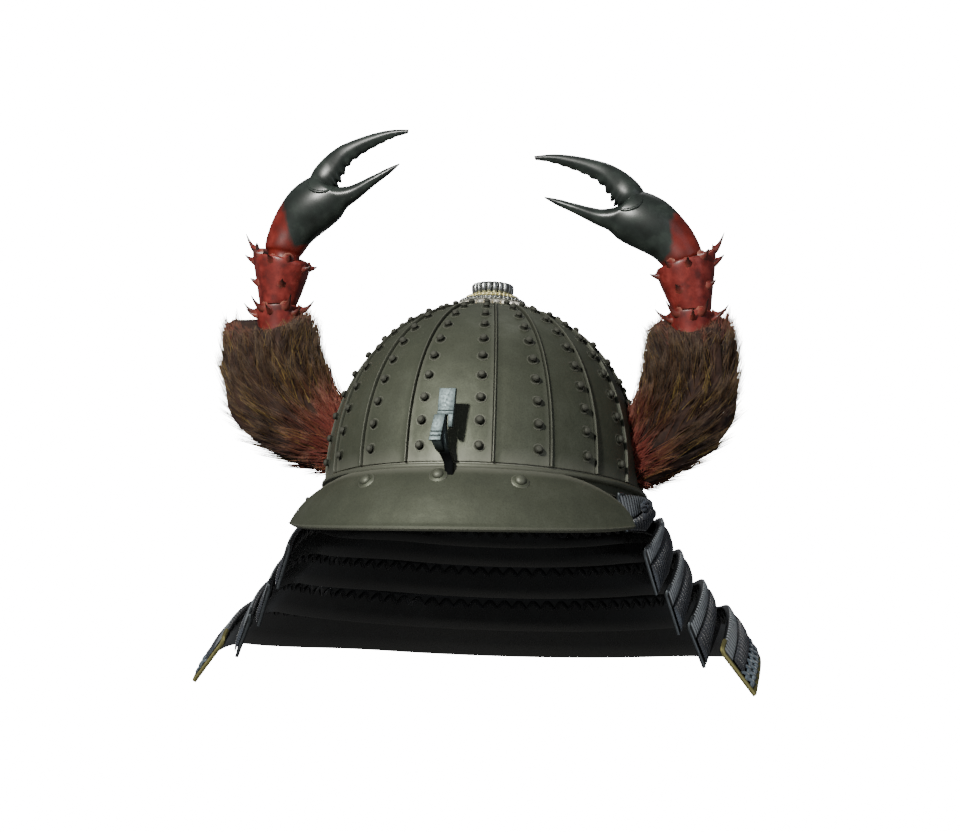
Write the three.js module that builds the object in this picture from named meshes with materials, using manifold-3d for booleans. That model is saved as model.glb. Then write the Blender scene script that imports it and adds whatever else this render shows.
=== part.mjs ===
// Kabuto: an eighteen-plate riveted helmet bowl with a five-lame laced neck guard and two crab-claw side crests.
// Millimetres. +Z up, the front of the helmet faces -Y, +X is the wearer's left.
// Origin: centre of the bowl's rim, where it sits on the wearer's brow band.
import * as THREE from 'three';
import Module from 'manifold-3d';

const wasm = await Module();
wasm.setup();

// ---------------------------------------------------------------- driving dimensions
const BOWL_HALF_WIDTH = 110;
const BOWL_HALF_LENGTH = 123;
const BOWL_HEIGHT = 131;
const BOWL_FULLNESS = 2.15;           // exponent of the dome's rounded profile
const PLATE_THICKNESS = 3;
const FRONT_PLATE_HALF = 13.4;        // degrees
const PLATE_STEP = 18.9;              // degrees
const SIDE_PLATES = 8;                // narrow plates on each side, between the wide front and back ones
const CROWN_HOLE = 17;                // radius left open at the top, under the finial
const SUJI_HEIGHT = 2.1;              // raised flange along each seam
const SUJI_WIDTH = 1.5;
const RIVET_RADIUS = 3.1;
const RIVET_HEIGHT = 3;
const RIVET_PITCH = 16.6;
const GAP = 0.3;                      // clearance kept between separate pieces
const RIM_TOP = -1.5;                 // the rim band's upper face, just under the plates
const RIM_BAND_DROP = 9;
const PEAK_REACH = 27;                // how far the peak stands out from the brow
const PEAK_DROP = 45;                 // how far its edge lies below the brow
const PEAK_HALF_ANGLE = 56;
const LAME_THICKNESS = 2.2;
const HEAD_HEIGHT = 6;                // ribbed head band of a lame
const HEAD_PROUD = 2.3;
const LACE_THICKNESS = 2.6;
const CREST_LIFT = 5;                // the wearer's right crest stands higher, the left one lower
const FUR_TURN = 1.7;                 // degrees the fur leans beyond its leg
const CREST_TURN = 2.4;               // degrees, the whole crest about its root
const CLAW_TURN = 2.2;                // degrees, the claw about its wrist
const CLAW_LIFT = 2.4;                // the claws stand this much further apart in height
const FINGER_TURN = 2.4;              // degrees, how much more one claw is open than the other

const RAD = Math.PI / 180;
const V = (x, y, z) => new THREE.Vector3(x, y, z);

// ---------------------------------------------------------------- small solid-building helpers
// A ring of section loops (each the same number of 3-D points) joined into a closed solid with two flat caps.
function loft(loops, closed = false) {
  const n = loops[0].length;
  const points = loops.flat();
  const tris = [];
  const rows = closed ? loops.length : loops.length - 1;
  for (let i = 0; i < rows; i++) {
    const a = i * n;
    const b = ((i + 1) % loops.length) * n;
    for (let j = 0; j < n; j++) {
      const k = (j + 1) % n;
      tris.push([a + j, a + k, b + k], [a + j, b + k, b + j]);
    }
  }
  if (!closed) {
    capLoop(loops[0], 0, tris, true);
    capLoop(loops[loops.length - 1], (loops.length - 1) * n, tris, false);
  }
  return outward(points, tris);
}

function capLoop(loop, start, tris, flip) {
  const centre = loop.reduce((s, p) => s.add(p), V(0, 0, 0)).multiplyScalar(1 / loop.length);
  const normal = V(0, 0, 0);
  loop.forEach((p, i) => {
    const q = loop[(i + 1) % loop.length];
    normal.add(V(0, 0, 0).crossVectors(p.clone().sub(centre), q.clone().sub(centre)));
  });
  normal.normalize();
  const u = loop[0].clone().sub(centre);
  u.addScaledVector(normal, -u.dot(normal)).normalize();
  const w = V(0, 0, 0).crossVectors(normal, u);
  const flat = loop.map((p) => {
    const d = p.clone().sub(centre);
    return new THREE.Vector2(d.dot(u), d.dot(w));
  });
  for (const [a, b, c] of THREE.ShapeUtils.triangulateShape(flat, [])) {
    tris.push(flip ? [start + c, start + b, start + a] : [start + a, start + b, start + c]);
  }
}

// Turns the faces round if the signed volume says the solid is inside out.
function outward(points, tris) {
  let volume = 0;
  for (const [a, b, c] of tris) {
    volume += points[a].dot(V(0, 0, 0).crossVectors(points[b], points[c]));
  }
  const faces = volume < 0 ? tris.map(([a, b, c]) => [a, c, b]) : tris;
  return toManifold(points, faces);
}

function toManifold(points, faces) {
  const keys = new Map();
  const index = [];
  const coords = [];
  points.forEach((p) => {
    const key = `${p.x.toFixed(4)} ${p.y.toFixed(4)} ${p.z.toFixed(4)}`;
    if (!keys.has(key)) {
      keys.set(key, coords.length / 3);
      coords.push(p.x, p.y, p.z);
    }
    index.push(keys.get(key));
  });
  const verts = [];
  for (const face of faces) {
    const [a, b, c] = face.map((v) => index[v]);
    if (a !== b && b !== c && a !== c) verts.push(a, b, c);
  }
  return new wasm.Manifold(new wasm.Mesh({
    numProp: 3,
    vertProperties: new Float32Array(coords),
    triVerts: new Uint32Array(verts),
  }));
}

// An oval section: edge points a and b across it, half-depth d along a chosen depth direction.
function oval(a, b, depth, sides, ridge = 1) {
  const centre = a.clone().add(b).multiplyScalar(0.5);
  const across = a.clone().sub(b).multiplyScalar(0.5);
  const loop = [];
  for (let i = 0; i < sides; i++) {
    const t = (i / sides) * 2 * Math.PI;
    const k = i % 2 ? ridge : 1;
    loop.push(centre.clone()
      .addScaledVector(across, Math.cos(t) * k)
      .addScaledVector(depth, Math.sin(t) * k));
  }
  return loop;
}

function lathe(profile, segments, flute = 0) {
  const loops = [];
  for (let i = 0; i < segments; i++) {
    const t = (i / segments) * 2 * Math.PI;
    const k = flute && i % 2 ? 1 - flute : 1;
    loops.push(profile.map(([r, z]) => V(r * k * Math.cos(t), r * k * Math.sin(t), z)));
  }
  return loft(loops, true);
}

// A pointed spine: its foot on a surface at p, pointing along d.
function spine(p, d, radius, length) {
  const dir = d.clone().normalize();
  const side = V(0, 0, 0).crossVectors(dir, Math.abs(dir.z) < 0.9 ? V(0, 0, 1) : V(1, 0, 0)).normalize();
  const up = V(0, 0, 0).crossVectors(dir, side);
  const foot = p.clone().addScaledVector(dir, -radius * 0.8);
  const ring = (r, along) => [0, 1, 2].map((i) => {
    const t = (i / 3) * 2 * Math.PI;
    return foot.clone()
      .addScaledVector(dir, along)
      .addScaledVector(side, r * Math.cos(t))
      .addScaledVector(up, r * Math.sin(t));
  });
  return loft([ring(radius, 0), ring(0.4, length + radius * 0.8)]);
}

// ---------------------------------------------------------------- the bowl's form
// Azimuth is measured from the front, positive towards the wearer's left.
function rimRadius(azimuth, width = BOWL_HALF_WIDTH, length = BOWL_HALF_LENGTH) {
  const s = Math.sin(azimuth * RAD) / width;
  const c = Math.cos(azimuth * RAD) / length;
  return 1 / Math.sqrt(s * s + c * c);
}

function polar(azimuth, radius, z) {
  return V(radius * Math.sin(azimuth * RAD), -radius * Math.cos(azimuth * RAD), z);
}

// A point of the dome at climb angle u (0 at the rim, 90 at the crown), lifted off the surface.
function domePoint(azimuth, u, lift = 0) {
  const rim = rimRadius(azimuth);
  const power = 2 / BOWL_FULLNESS;
  const c = Math.max(Math.cos(u * RAD), 1e-9);
  const s = Math.max(Math.sin(u * RAD), 0);
  const r = rim * Math.pow(c, power);
  const z = BOWL_HEIGHT * Math.pow(s, power);
  const nr = Math.pow(c, 2 - power) / rim;
  const nz = Math.pow(s, 2 - power) / BOWL_HEIGHT;
  const len = Math.hypot(nr, nz);
  return polar(azimuth, r + (lift * nr) / len, z + (lift * nz) / len);
}

function climbAtRadius(azimuth, radius) {
  return Math.acos(Math.pow(radius / rimRadius(azimuth), BOWL_FULLNESS / 2)) / RAD;
}

function bowlPlate(from, to, rowOnFromSide, rowOnToSide, ridgeAtFrom, ridgeAtTo) {
  const steps = 6;
  const columns = to - from > 25 ? 3 : 1;
  const loops = [];
  for (let i = 0; i <= steps; i++) {
    const u0 = 0.15;
    const u1 = climbAtRadius((from + to) / 2, CROWN_HOLE);
    const u = u0 + (u1 - u0) * Math.pow(i / steps, 0.9);
    const r = domePoint((from + to) / 2, u).setZ(0).length();
    const gap = (GAP / 2 / r) / RAD;
    const a = from + gap;
    const b = to - gap;
    const rise = SUJI_HEIGHT * Math.min(1, Math.max(0.02, (r - 29.5) / 12));
    const wide = (SUJI_WIDTH / r) / RAD;
    const loop = [];
    if (ridgeAtFrom) {
      loop.push(domePoint(a, u, rise), domePoint(a + wide, u, rise), domePoint(a + wide * 1.2, u, 0));
    } else {
      loop.push(domePoint(a, u, 0));
    }
    for (let j = 1; j <= columns; j++) loop.push(domePoint(a + ((b - a) * j) / (columns + 1), u, 0));
    if (ridgeAtTo) {
      loop.push(domePoint(b - wide * 1.2, u, 0), domePoint(b - wide, u, rise), domePoint(b, u, rise));
    } else {
      loop.push(domePoint(b, u, 0));
    }
    for (const k of [1, 0.5, 0]) {
      loop.push(domePoint(a + (b - a) * k, u, -PLATE_THICKNESS));
    }
    loops.push(loop);
  }
  let plate = loft(loops);
  if (rowOnFromSide) plate = plate.add(rivetRow(from, 1));
  if (rowOnToSide) plate = plate.add(rivetRow(to, -1));
  return plate;
}

function rivet(azimuth, u, size, grow = 0) {
  const foot = domePoint(azimuth, u, -1.5);
  const out = domePoint(azimuth, u, 1).sub(domePoint(azimuth, u, 0)).normalize();
  const side = V(0, 0, 0).crossVectors(out, V(0, 0, 1)).normalize();
  const up = V(0, 0, 0).crossVectors(side, out);
  const ring = (r, along) => [0, 1, 2, 3].map((i) => {
    const t = ((i + 0.5) / 4) * 2 * Math.PI;
    return foot.clone()
      .addScaledVector(out, along)
      .addScaledVector(side, r * Math.cos(t))
      .addScaledVector(up, r * Math.sin(t));
  });
  const r = RIVET_RADIUS * size * 1.12;
  return loft([ring(r * 1.1 + grow, 0), ring(r * 0.55 + grow, 1.5 + RIVET_HEIGHT * size + grow)]);
}

// Rivets climb the plate beside a seam; side says which way from the seam the row lies.
function rivetRow(seam, side, grow = 0) {
  let row = null;
  let travelled = 0;
  let next = 10.5;
  let last = domePoint(seam, 0);
  for (let u = 0.5; u < 90; u += 0.5) {
    const here = domePoint(seam, u);
    travelled += here.distanceTo(last);
    last = here;
    const r = here.clone().setZ(0).length();
    if (r < 35) break;
    if (travelled >= next) {
      const size = 0.72 + 0.28 * Math.min(1, r / 95);
      const shift = ((8.2 * Math.pow(r / 110, 0.6)) / r) / RAD;
      const stud = rivet(seam + side * shift, u, size, grow);
      row = row ? row.add(stud) : stud;
      next += RIVET_PITCH * (0.86 + 0.14 * Math.min(1, r / 100));
    }
  }
  return row;
}

function rimBand() {
  const stations = 36;
  const loops = [];
  for (let i = 0; i < stations; i++) {
    const t = (i / stations) * 360;
    const r = rimRadius(t);
    loops.push([[r - 3.6, 0], [r + 3.2, 0], [r + 3.2, -2.4], [r - 0.3, -2.6], [r - 0.3, -RIM_BAND_DROP],
      [r - 3.6, -RIM_BAND_DROP]].map(([q, z]) => polar(t, q, z + RIM_TOP)));
  }
  return loft(loops, true);
}

// ---------------------------------------------------------------- peak
// A point of the peak: t runs from its root on the rim (0) to its edge (1).
function peakPoint(azimuth, t, lift = 0) {
  const r = rimRadius(azimuth) + 2.4;
  const aside = Math.abs(azimuth) / PEAK_HALF_ANGLE;
  const bow = Math.sin(Math.PI * t) * 2.6;
  const out = r + PEAK_REACH * t + bow + (1 - aside) * t;
  const z = RIM_TOP - 3 - PEAK_DROP * t + bow * 0.6 + 11 * t * aside * aside;
  const n = Math.hypot(PEAK_DROP, PEAK_REACH);
  return polar(azimuth, out + (lift * PEAK_DROP) / n, z + (lift * PEAK_REACH) / n);
}

function peakPlate(grow) {
  const stations = 20;
  const loops = [];
  for (let i = 0; i <= stations; i++) {
    const k = (2 * i) / stations - 1;
    const azimuth = PEAK_HALF_ANGLE * Math.sign(k) * (1 - Math.pow(1 - Math.abs(k), 1.35));
    const past = Math.max(0, Math.abs(azimuth) - 33) / (PEAK_HALF_ANGLE - 33);
    const t0 = 0.9 * (1 - Math.sqrt(1 - 0.985 * past * past));
    const top = 1 - 0.05 * Math.pow(past, 4);
    const at = (q) => t0 + (top - t0) * q;
    const face = 1.1 + grow;
    loops.push([
      peakPoint(azimuth, at(0), face), peakPoint(azimuth, at(0.5), face), peakPoint(azimuth, at(0.94), face),
      peakPoint(azimuth, at(0.97), face + 0.9), peakPoint(azimuth, at(1), face + 0.4),
      peakPoint(azimuth, at(1), -face), peakPoint(azimuth, at(0.5), -face), peakPoint(azimuth, at(0), -face),
    ]);
  }
  return loft(loops);
}

function peak() {
  return joinAll(peakPlate(0), [-24.5, -1.7, 21.5].map((azimuth) => peakRivet(azimuth)));
}

function peakRivet(azimuth, grow = 0) {
  const along = Math.abs(azimuth) > 10 ? 0.24 : 0.17;
  const foot = peakPoint(azimuth, along, 0);
  const out = peakPoint(azimuth, along, 1).sub(foot).normalize();
  const side = V(0, 0, 0).crossVectors(out, V(0, 0, 1)).normalize();
  const up = V(0, 0, 0).crossVectors(side, out);
  const ring = (r, height) => Array.from({ length: 7 }, (_, i) => {
    const t = (i / 7) * 2 * Math.PI;
    return foot.clone()
      .addScaledVector(out, height)
      .addScaledVector(side, r * Math.cos(t))
      .addScaledVector(up, r * Math.sin(t));
  });
  return loft([ring(5 + grow, -grow), ring(4.8 + grow, 1.8), ring(2.2 + grow, 3.9 + grow)]);
}

// ---------------------------------------------------------------- crest holder at the brow
// A forked upright on a narrow foot at the peak's root; its prongs take a frontal crest.
// Every row is one level of the strip: cx its middle, w its half-width, y0 its front and y1 its back.
const HOLDER = [
  { z: -12, cx: 3.4, w: 2.8, y0: -132, y1: -127.4 },
  { z: -2, cx: 2.4, w: 3.2, y0: -132.4, y1: -127.4 },
  { z: 7, cx: -1, w: 4, y0: -138, y1: -128 },
  { z: 13, cx: -2, w: 3.3, y0: -139.5, y1: -132 },
  { z: 19.8, cx: -2, w: 3.2, y0: -139.5, y1: -133 },
  { z: 20.2, cx: 0.5, w: 5.3, y0: -139.5, y1: -133.4 },
  { z: 30, cx: 0.8, w: 5.4, y0: -139.5, y1: -134 },
  { z: 38.5, cx: 1, w: 5.5, y0: -139.3, y1: -134 },
  { z: 46, cx: 1.4, w: 5.5, y0: -138, y1: -134 },
];

function crestHolder() {
  const strip = loft(HOLDER.map(({ z, cx, w, y0, y1 }) => [
    V(cx - w, y0, z), V(cx + w, y0, z), V(cx + w, y1, z), V(cx - w, y1, z),
  ]));
  const prong = loft([
    [V(-9, -144.5, 10.5), V(-0.6, -144.5, 10.5), V(-0.6, -139.2, 10.5), V(-9, -139.2, 10.5)],
    [V(-6.2, -141.4, 28), V(1.2, -141.4, 28), V(1.2, -137.5, 28), V(-6.2, -137.5, 28)],
  ]);
  const slot = loft([
    [V(1.2, -146, 17), V(2.6, -146, 17), V(2.6, -130, 17), V(1.2, -130, 17)],
    [V(1.2, -146, 29), V(2.6, -146, 29), V(2.6, -130, 29), V(1.2, -130, 29)],
  ]);
  const cut = strip.add(prong).subtract(slot).subtract(peakPlate(GAP)).subtract(peakRivet(-1.7, GAP));
  return cut.decompose().sort((a, b) => b.volume() - a.volume())[0];
}

// ---------------------------------------------------------------- crown finial, four stacked pieces
function crownPetals() {
  return lathe([[9, 128], [27, 125.8], [28.6, 127.6], [28.2, 130.2], [20, 132.6], [9, 132.6]], 16)
    .subtract(bowlForm(0.8));
}

function crownCollar() {
  return lathe([[9, 132.9], [22.4, 132.9], [23.6, 134.4], [22.4, 136], [9, 136]], 16);
}

function crownBeads() {
  return lathe([[9, 136.3], [16.6, 136.3], [17.8, 137.7], [16.6, 139.1], [9, 139.1]], 16);
}

function crownChrysanthemum() {
  return lathe([[9, 139.4], [13.2, 139.4], [14.6, 143.4], [14.2, 147.6], [9, 147.6]], 28, 0.07);
}

// ---------------------------------------------------------------- neck guard: five lames
// Each lame has three stations: its side (azimuth 100), its back (180) and its front end. At a station r is the
// head's outer radius, z its height, lean the slope from upright in degrees and slant the height along it.
const LAMES = [
  {
    end: 60.5,
    side: { r: 116, z: -5, lean: 13, slant: 26 },
    back: { r: 129.7, z: -1, lean: 12, slant: 24 },
    front: { r: 118.5, z: -11, lean: 9, slant: 25 },
  },
  {
    end: 62.8,
    side: { r: 122, z: -15, lean: 22, slant: 30 },
    back: { r: 135.4, z: -10, lean: 16, slant: 29 },
    front: { r: 137.5, z: -49, lean: 12, slant: 30 },
  },
  {
    end: 67.4,
    side: { r: 135.5, z: -36.5, lean: 25, slant: 30 },
    back: { r: 145, z: -33, lean: 17, slant: 29 },
    front: { r: 148.2, z: -76, lean: 13, slant: 28.5 },
  },
  {
    end: 71.5,
    side: { r: 152.5, z: -57, lean: 28, slant: 31 },
    back: { r: 155.6, z: -57, lean: 18, slant: 29 },
    front: { r: 159.5, z: -96.5, lean: 18, slant: 29.5 },
  },
  {
    end: 76.8,
    side: { r: 170.5, z: -74.5, lean: 34, slant: 40 },
    back: { r: 166.6, z: -70, lean: 28, slant: 37 },
    front: { r: 177.2, z: -112, lean: 36, slant: 36 },
  },
];
const LAME_STEPS = 20;
const END_RAKE = 3.2;                 // degrees the front ends lean back from head to foot

// The head line of a lame at an azimuth: radius, height, lean and slant.
function lameHead(lame, azimuth) {
  const a = Math.abs(azimuth);
  const w = a >= 105 ? 0 : Math.pow((105 - a) / (105 - lame.end), 1.7);
  const k = a <= 100 ? 0 : 0.5 - 0.5 * Math.cos(Math.min(1, (a - 100) / 45) * Math.PI);
  const { side, back, front } = lame;
  const mix = (key) => side[key] + (front[key] - side[key]) * w + (back[key] - side[key]) * k;
  const ring = rimRadius(a, side.r, back.r);
  const atEnd = rimRadius(lame.end, side.r, back.r);
  return { r: ring + (front.r - atEnd) * w, z: mix('z'), lean: mix('lean'), slant: mix('slant') };
}

// s runs down the lame from its head, n stands off its outer face.
function lamePoint(lame, azimuth, s, n) {
  const { r, z, lean, slant } = lameHead(lame, azimuth);
  const sin = Math.sin(lean * RAD);
  const cos = Math.cos(lean * RAD);
  const near = Math.max(0, 1 - (Math.abs(azimuth) - lame.end) / 20);
  const rake = END_RAKE * near * near * (s / slant);
  const turned = azimuth < 0 ? azimuth - rake : azimuth + rake;
  return polar(turned, r + s * sin + n * cos, z - s * cos + n * sin);
}

// A section swept from the front end on the wearer's left, round the back, to the front end on the right.
function sweepLame(lame, section, inset, steps) {
  const loops = [];
  const span = 180 - lame.end - inset;
  for (let i = 0; i <= steps; i++) {
    const k = (i / steps) * 2 - 1;
    const turn = 180 - (1 - Math.pow(1 - Math.abs(k), 1.15)) * span;
    const azimuth = k <= 0 ? turn : -turn;
    loops.push(section(azimuth).map(([s, n]) => lamePoint(lame, azimuth, s, n)));
  }
  return loft(loops);
}

function lame(index) {
  const item = LAMES[index];
  const t = LAME_THICKNESS;
  const proud = index === 0 ? 1.4 : HEAD_PROUD;
  const section = (azimuth) => {
    const { slant } = lameHead(item, azimuth);
    const rim = index === 4 ? [[slant - 2.6, 0], [slant - 2.3, 1.3], [slant, 1.2]] : [[slant, 0]];
    return [[0, -t], [0.6, proud], [HEAD_HEIGHT - 0.8, proud], [HEAD_HEIGHT, 0], ...rim, [slant, -t]];
  };
  return sweepLame(item, section, 0, LAME_STEPS);
}

// The close-set cords between a lame's head and the head of the next one down.
function lacing(index) {
  const item = LAMES[index];
  const t = LACE_THICKNESS;
  const section = (azimuth) => {
    const foot = laceFoot(index, azimuth);
    const top = HEAD_HEIGHT + GAP;
    const full = Math.max(1.7, Math.min(t + 0.5, (foot - top) * 0.5));
    const off = 3 * GAP;
    return [[top, off], [top, 1.2], [top + (foot - top) * 0.4, full], [foot - 1, full * 0.75],
      [foot, off]];
  };
  return sweepLame(item, section, 0.8, LAME_STEPS);
}

// How far down a lame its lacing shows: to just above the next head, or two thirds of the last lame.
function laceFoot(index, azimuth) {
  const here = lameHead(LAMES[index], azimuth);
  if (index === LAMES.length - 1) return here.slant * 0.6;
  const next = lameHead(LAMES[index + 1], azimuth);
  const reach = (here.z - next.z - 1) / Math.cos(here.lean * RAD);
  return Math.max(HEAD_HEIGHT + 2.5, Math.min(reach, here.slant - 0.6));
}

// ---------------------------------------------------------------- side crests
// Every outline row holds two opposite edge points of the limb in the upright plane across the helmet
// (ax, az and bx, bz), the half-depth d and how far forward the middle lies (f).
const LEG = [
  { ax: 107, az: 34, bx: 107, bz: 10, d: 11, f: 2 },
  { ax: 118, az: 40, bx: 126, bz: 20, d: 12, f: 3 },
  { ax: 130, az: 58, bx: 151, bz: 44, d: 12, f: 7 },
  { ax: 135, az: 84, bx: 161, bz: 82, d: 13, f: 12 },
  { ax: 135, az: 108, bx: 164, bz: 108, d: 13.5, f: 15 },
  { ax: 133, az: 124, bx: 166, bz: 124, d: 15, f: 17 },
];
const FUR = [
  { ax: 100, az: 44, bx: 107, bz: 2, d: 19, f: 1 },
  { ax: 108, az: 56, bx: 131, bz: 8, d: 24, f: 3 },
  { ax: 112, az: 68, bx: 160, bz: 24, d: 28, f: 7 },
  { ax: 116, az: 81, bx: 180, bz: 46, d: 30, f: 10 },
  { ax: 118, az: 95, bx: 184, bz: 71, d: 30, f: 13 },
  { ax: 120, az: 108, bx: 182, bz: 98, d: 28, f: 15 },
  { ax: 126, az: 117, bx: 176, bz: 116, d: 24, f: 16 },
];
const CARPUS = [
  { ax: 137, az: 126.3, bx: 163, bz: 126.3, d: 12.5, f: 17 },
  { ax: 131.5, az: 139, bx: 164.5, bz: 141, d: 15, f: 18 },
  { ax: 126.5, az: 153, bx: 167, bz: 163, d: 17, f: 20 },
  { ax: 127.5, az: 157.5, bx: 166.5, bz: 170, d: 16.5, f: 20.5 },
];
const PALM = [
  { ax: 134, az: 157.5, bx: 156.5, bz: 163.5, d: 9.5, f: 20.5 },
  { ax: 131, az: 161.5, bx: 158.5, bz: 169.5, d: 11, f: 21 },
  { ax: 123, az: 170, bx: 153.5, bz: 184, d: 12, f: 22 },
  { ax: 109, az: 178, bx: 145, bz: 197, d: 13, f: 25 },
  { ax: 101, az: 183, bx: 134, bz: 208.5, d: 13, f: 27 },
  { ax: 97, az: 187, bx: 121, bz: 217.5, d: 11.5, f: 29 },
  { ax: 93.5, az: 190, bx: 106, bz: 206.5, d: 8.5, f: 31 },
  { ax: 86, az: 193.8, bx: 92, bz: 204, d: 6, f: 33 },
  { ax: 72.5, az: 202, bx: 76.3, bz: 208, d: 4, f: 36 },
  { ax: 60.5, az: 208.7, bx: 62.5, bz: 212.8, d: 2, f: 38 },
  { ax: 52.4, az: 214.2, bx: 52.6, bz: 215.2, d: 0.6, f: 40 },
];
const FINGER = [
  { ax: 108.5, az: 203.5, bx: 120.5, bz: 212.5, d: 7.2, f: 28 },
  { ax: 103.5, az: 205.5, bx: 115.5, bz: 219.5, d: 7.8, f: 29.5 },
  { ax: 100, az: 211.5, bx: 108.5, bz: 226.8, d: 7.4, f: 31 },
  { ax: 92.5, az: 221.5, bx: 98, bz: 233.8, d: 6.6, f: 34 },
  { ax: 81.5, az: 228.6, bx: 85, bz: 239, d: 5.8, f: 36 },
  { ax: 69.5, az: 233.5, bx: 71.5, bz: 241.8, d: 4.6, f: 38 },
  { ax: 58, az: 237.2, bx: 58.6, bz: 242.9, d: 3.2, f: 40 },
  { ax: 45.6, az: 239.6, bx: 45.2, bz: 241.4, d: 0.8, f: 42 },
];
const WRIST = { x: 145, z: 164 };
const KNUCKLE = { x: 118, z: 214 };
const LEG_ROOT = { x: 110, z: 22 };

// wearer's left crest: side 1; wearer's right crest: side -1, mirrored and set slightly higher.
// joint says what a point belongs to: 'arm', 'palm' or 'finger'. The right claw is also a little more closed.
function setCrest(point, side, joint = 'arm', lean = 0) {
  const swing = (p, pivot, degrees) => {
    const c = Math.cos(side * degrees * RAD);
    const s = Math.sin(side * degrees * RAD);
    const x = p.x - pivot.x;
    const z = p.z - pivot.z;
    return V(pivot.x + x * c - z * s, p.y, pivot.z + x * s + z * c);
  };
  let p = point.clone();
  if (joint === 'finger') p = swing(p, KNUCKLE, -FINGER_TURN);
  if (joint !== 'arm') p = swing(p, WRIST, CLAW_TURN);
  if (joint !== 'arm') p.z -= side * CLAW_LIFT;
  const set = swing(p, LEG_ROOT, CREST_TURN + lean);
  return V(side * set.x, set.y, set.z - side * CREST_LIFT);
}

function limb(rows, side, sides, ridge = 1, joint = 'arm', lean = 0) {
  return loft(rows.map((row) => oval(V(row.ax, -row.f, row.az), V(row.bx, -row.f, row.bz), V(0, row.d, 0),
    sides, ridge).map((p) => setCrest(p, side, joint, lean))));
}

// The same rows, each section larger by grow all round.
function grownRows(rows, grow) {
  return rows.map((row) => {
    const k = grow / Math.hypot(row.bx - row.ax, row.bz - row.az);
    const dx = (row.bx - row.ax) * k;
    const dz = (row.bz - row.az) * k;
    return { ax: row.ax - dx, az: row.az - dz, bx: row.bx + dx, bz: row.bz + dz, d: row.d + grow, f: row.f };
  });
}

// Spines round the rim of a cup: count of them, leaning out from the cup's axis.
function rimSpines(row, below, side, count, radius, length, lift) {
  const centre = V((row.ax + row.bx) / 2, -row.f, (row.az + row.bz) / 2);
  const under = V((below.ax + below.bx) / 2, -below.f, (below.az + below.bz) / 2);
  const axis = centre.clone().sub(under).normalize();
  const loop = oval(V(row.ax, -row.f, row.az), V(row.bx, -row.f, row.bz), V(0, row.d, 0), count);
  return loop.map((p) => {
    const out = p.clone().sub(centre).normalize();
    const dir = out.multiplyScalar(1).addScaledVector(axis, lift);
    const start = setCrest(p.clone().addScaledVector(out, -1.2), side);
    const end = setCrest(p.clone().add(dir), side);
    return spine(start, end.sub(start), radius, length);
  });
}

function joinAll(base, parts) {
  return parts.reduce((whole, part) => whole.add(part), base);
}

// The dome grown outward, used to trim limbs back from the plates.
function bowlForm(lift) {
  const loops = [];
  for (let i = 0; i <= 10; i++) {
    const u = 88.5 * (i / 10);
    const loop = [];
    for (let j = 0; j < 40; j++) loop.push(domePoint(j * 9, u, lift));
    if (i === 0) loops.push(loop.map((p) => V(p.x, p.y, -12)));
    loops.push(loop);
  }
  return loft(loops);
}

function crestLeg(side) {
  const spines = rimSpines(LEG[5], LEG[4], side, 6, 3.2, 8, 0.7);
  return joinAll(limb(LEG, side, 10), spines).subtract(bowlForm(2.8)).subtract(rivetRow(side * 89, -side, 0.6));
}

function crestFur(side) {
  const grown = grownRows(LEG, 1.8);
  grown[0].ax -= 6;
  grown[0].bx -= 6;
  grown[5].az += 6;
  grown[5].bz += 6;
  const core = limb(grown, side, 10);
  return limb(FUR, side, 14, 0.86, 'arm', FUR_TURN).subtract(core).subtract(bowlForm(3.8));
}

// A cup that is hollow at its top, where the root of the claw stands in it.
function crestCarpus(side) {
  const upper = rimSpines(CARPUS[2], CARPUS[1], side, 8, 3.4, 8, 0.35);
  const seat = grownRows(PALM.slice(0, 3), 1.3);
  seat[0].az -= 1.2;
  seat[0].bz -= 1.2;
  return joinAll(limb(CARPUS, side, 12), upper).subtract(limb(seat, side, 12, 1, 'palm'));
}

// The movable finger stands in a socket cut for it at the knuckle.
function crestPalm(side) {
  const seat = grownRows(FINGER.slice(0, 4), 0.4);
  seat[0].ax += 0.5;
  seat[0].bx += 0.5;
  seat[0].az -= 0.3;
  return limb(PALM, side, 12, 1, 'palm').subtract(limb(seat, side, 10, 1, 'finger'));
}

const crestFinger = (side) => limb(FINGER, side, 10, 1, 'finger');

// ---------------------------------------------------------------- cord knots on the top lame's front ends
function lameKnot(side) {
  const centre = lamePoint(LAMES[0], side * 73, 9, 3.4);
  const out = centre.clone().setZ(0).normalize();
  const across = V(0, 0, 0).crossVectors(out, V(0, 0, 1));
  const ring = (r, along) => Array.from({ length: 8 }, (_, i) => {
    const t = (i / 8) * 2 * Math.PI;
    return centre.clone()
      .addScaledVector(out, along)
      .addScaledVector(across, r * Math.cos(t))
      .addScaledVector(V(0, 0, 1), r * Math.sin(t));
  });
  return loft([ring(3.5, 0), ring(5.2, 1.4), ring(4.6, 3.6), ring(2.2, 5)]);
}

// ---------------------------------------------------------------- assembly
const FINISH = {
  iron: { color: 0x4b473c, roughness: 0.62, metalness: 0.6 },
  steel: { color: 0x4d565c, roughness: 0.4, metalness: 0.8 },
  silver: { color: 0x6d7072, roughness: 0.35, metalness: 0.9 },
  gilt: { color: 0xb59a55, roughness: 0.35, metalness: 0.9 },
  paleGilt: { color: 0xc7bd96, roughness: 0.4, metalness: 0.8 },
  lacquer: { color: 0x1d2023, roughness: 0.3, metalness: 0.1 },
  cord: { color: 0x1b2130, roughness: 0.9, metalness: 0 },
  red: { color: 0x9a3527, roughness: 0.4, metalness: 0 },
  fur: { color: 0x5f4230, roughness: 0.95, metalness: 0 },
  green: { color: 0x3d4441, roughness: 0.35, metalness: 0 },
};

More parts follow.
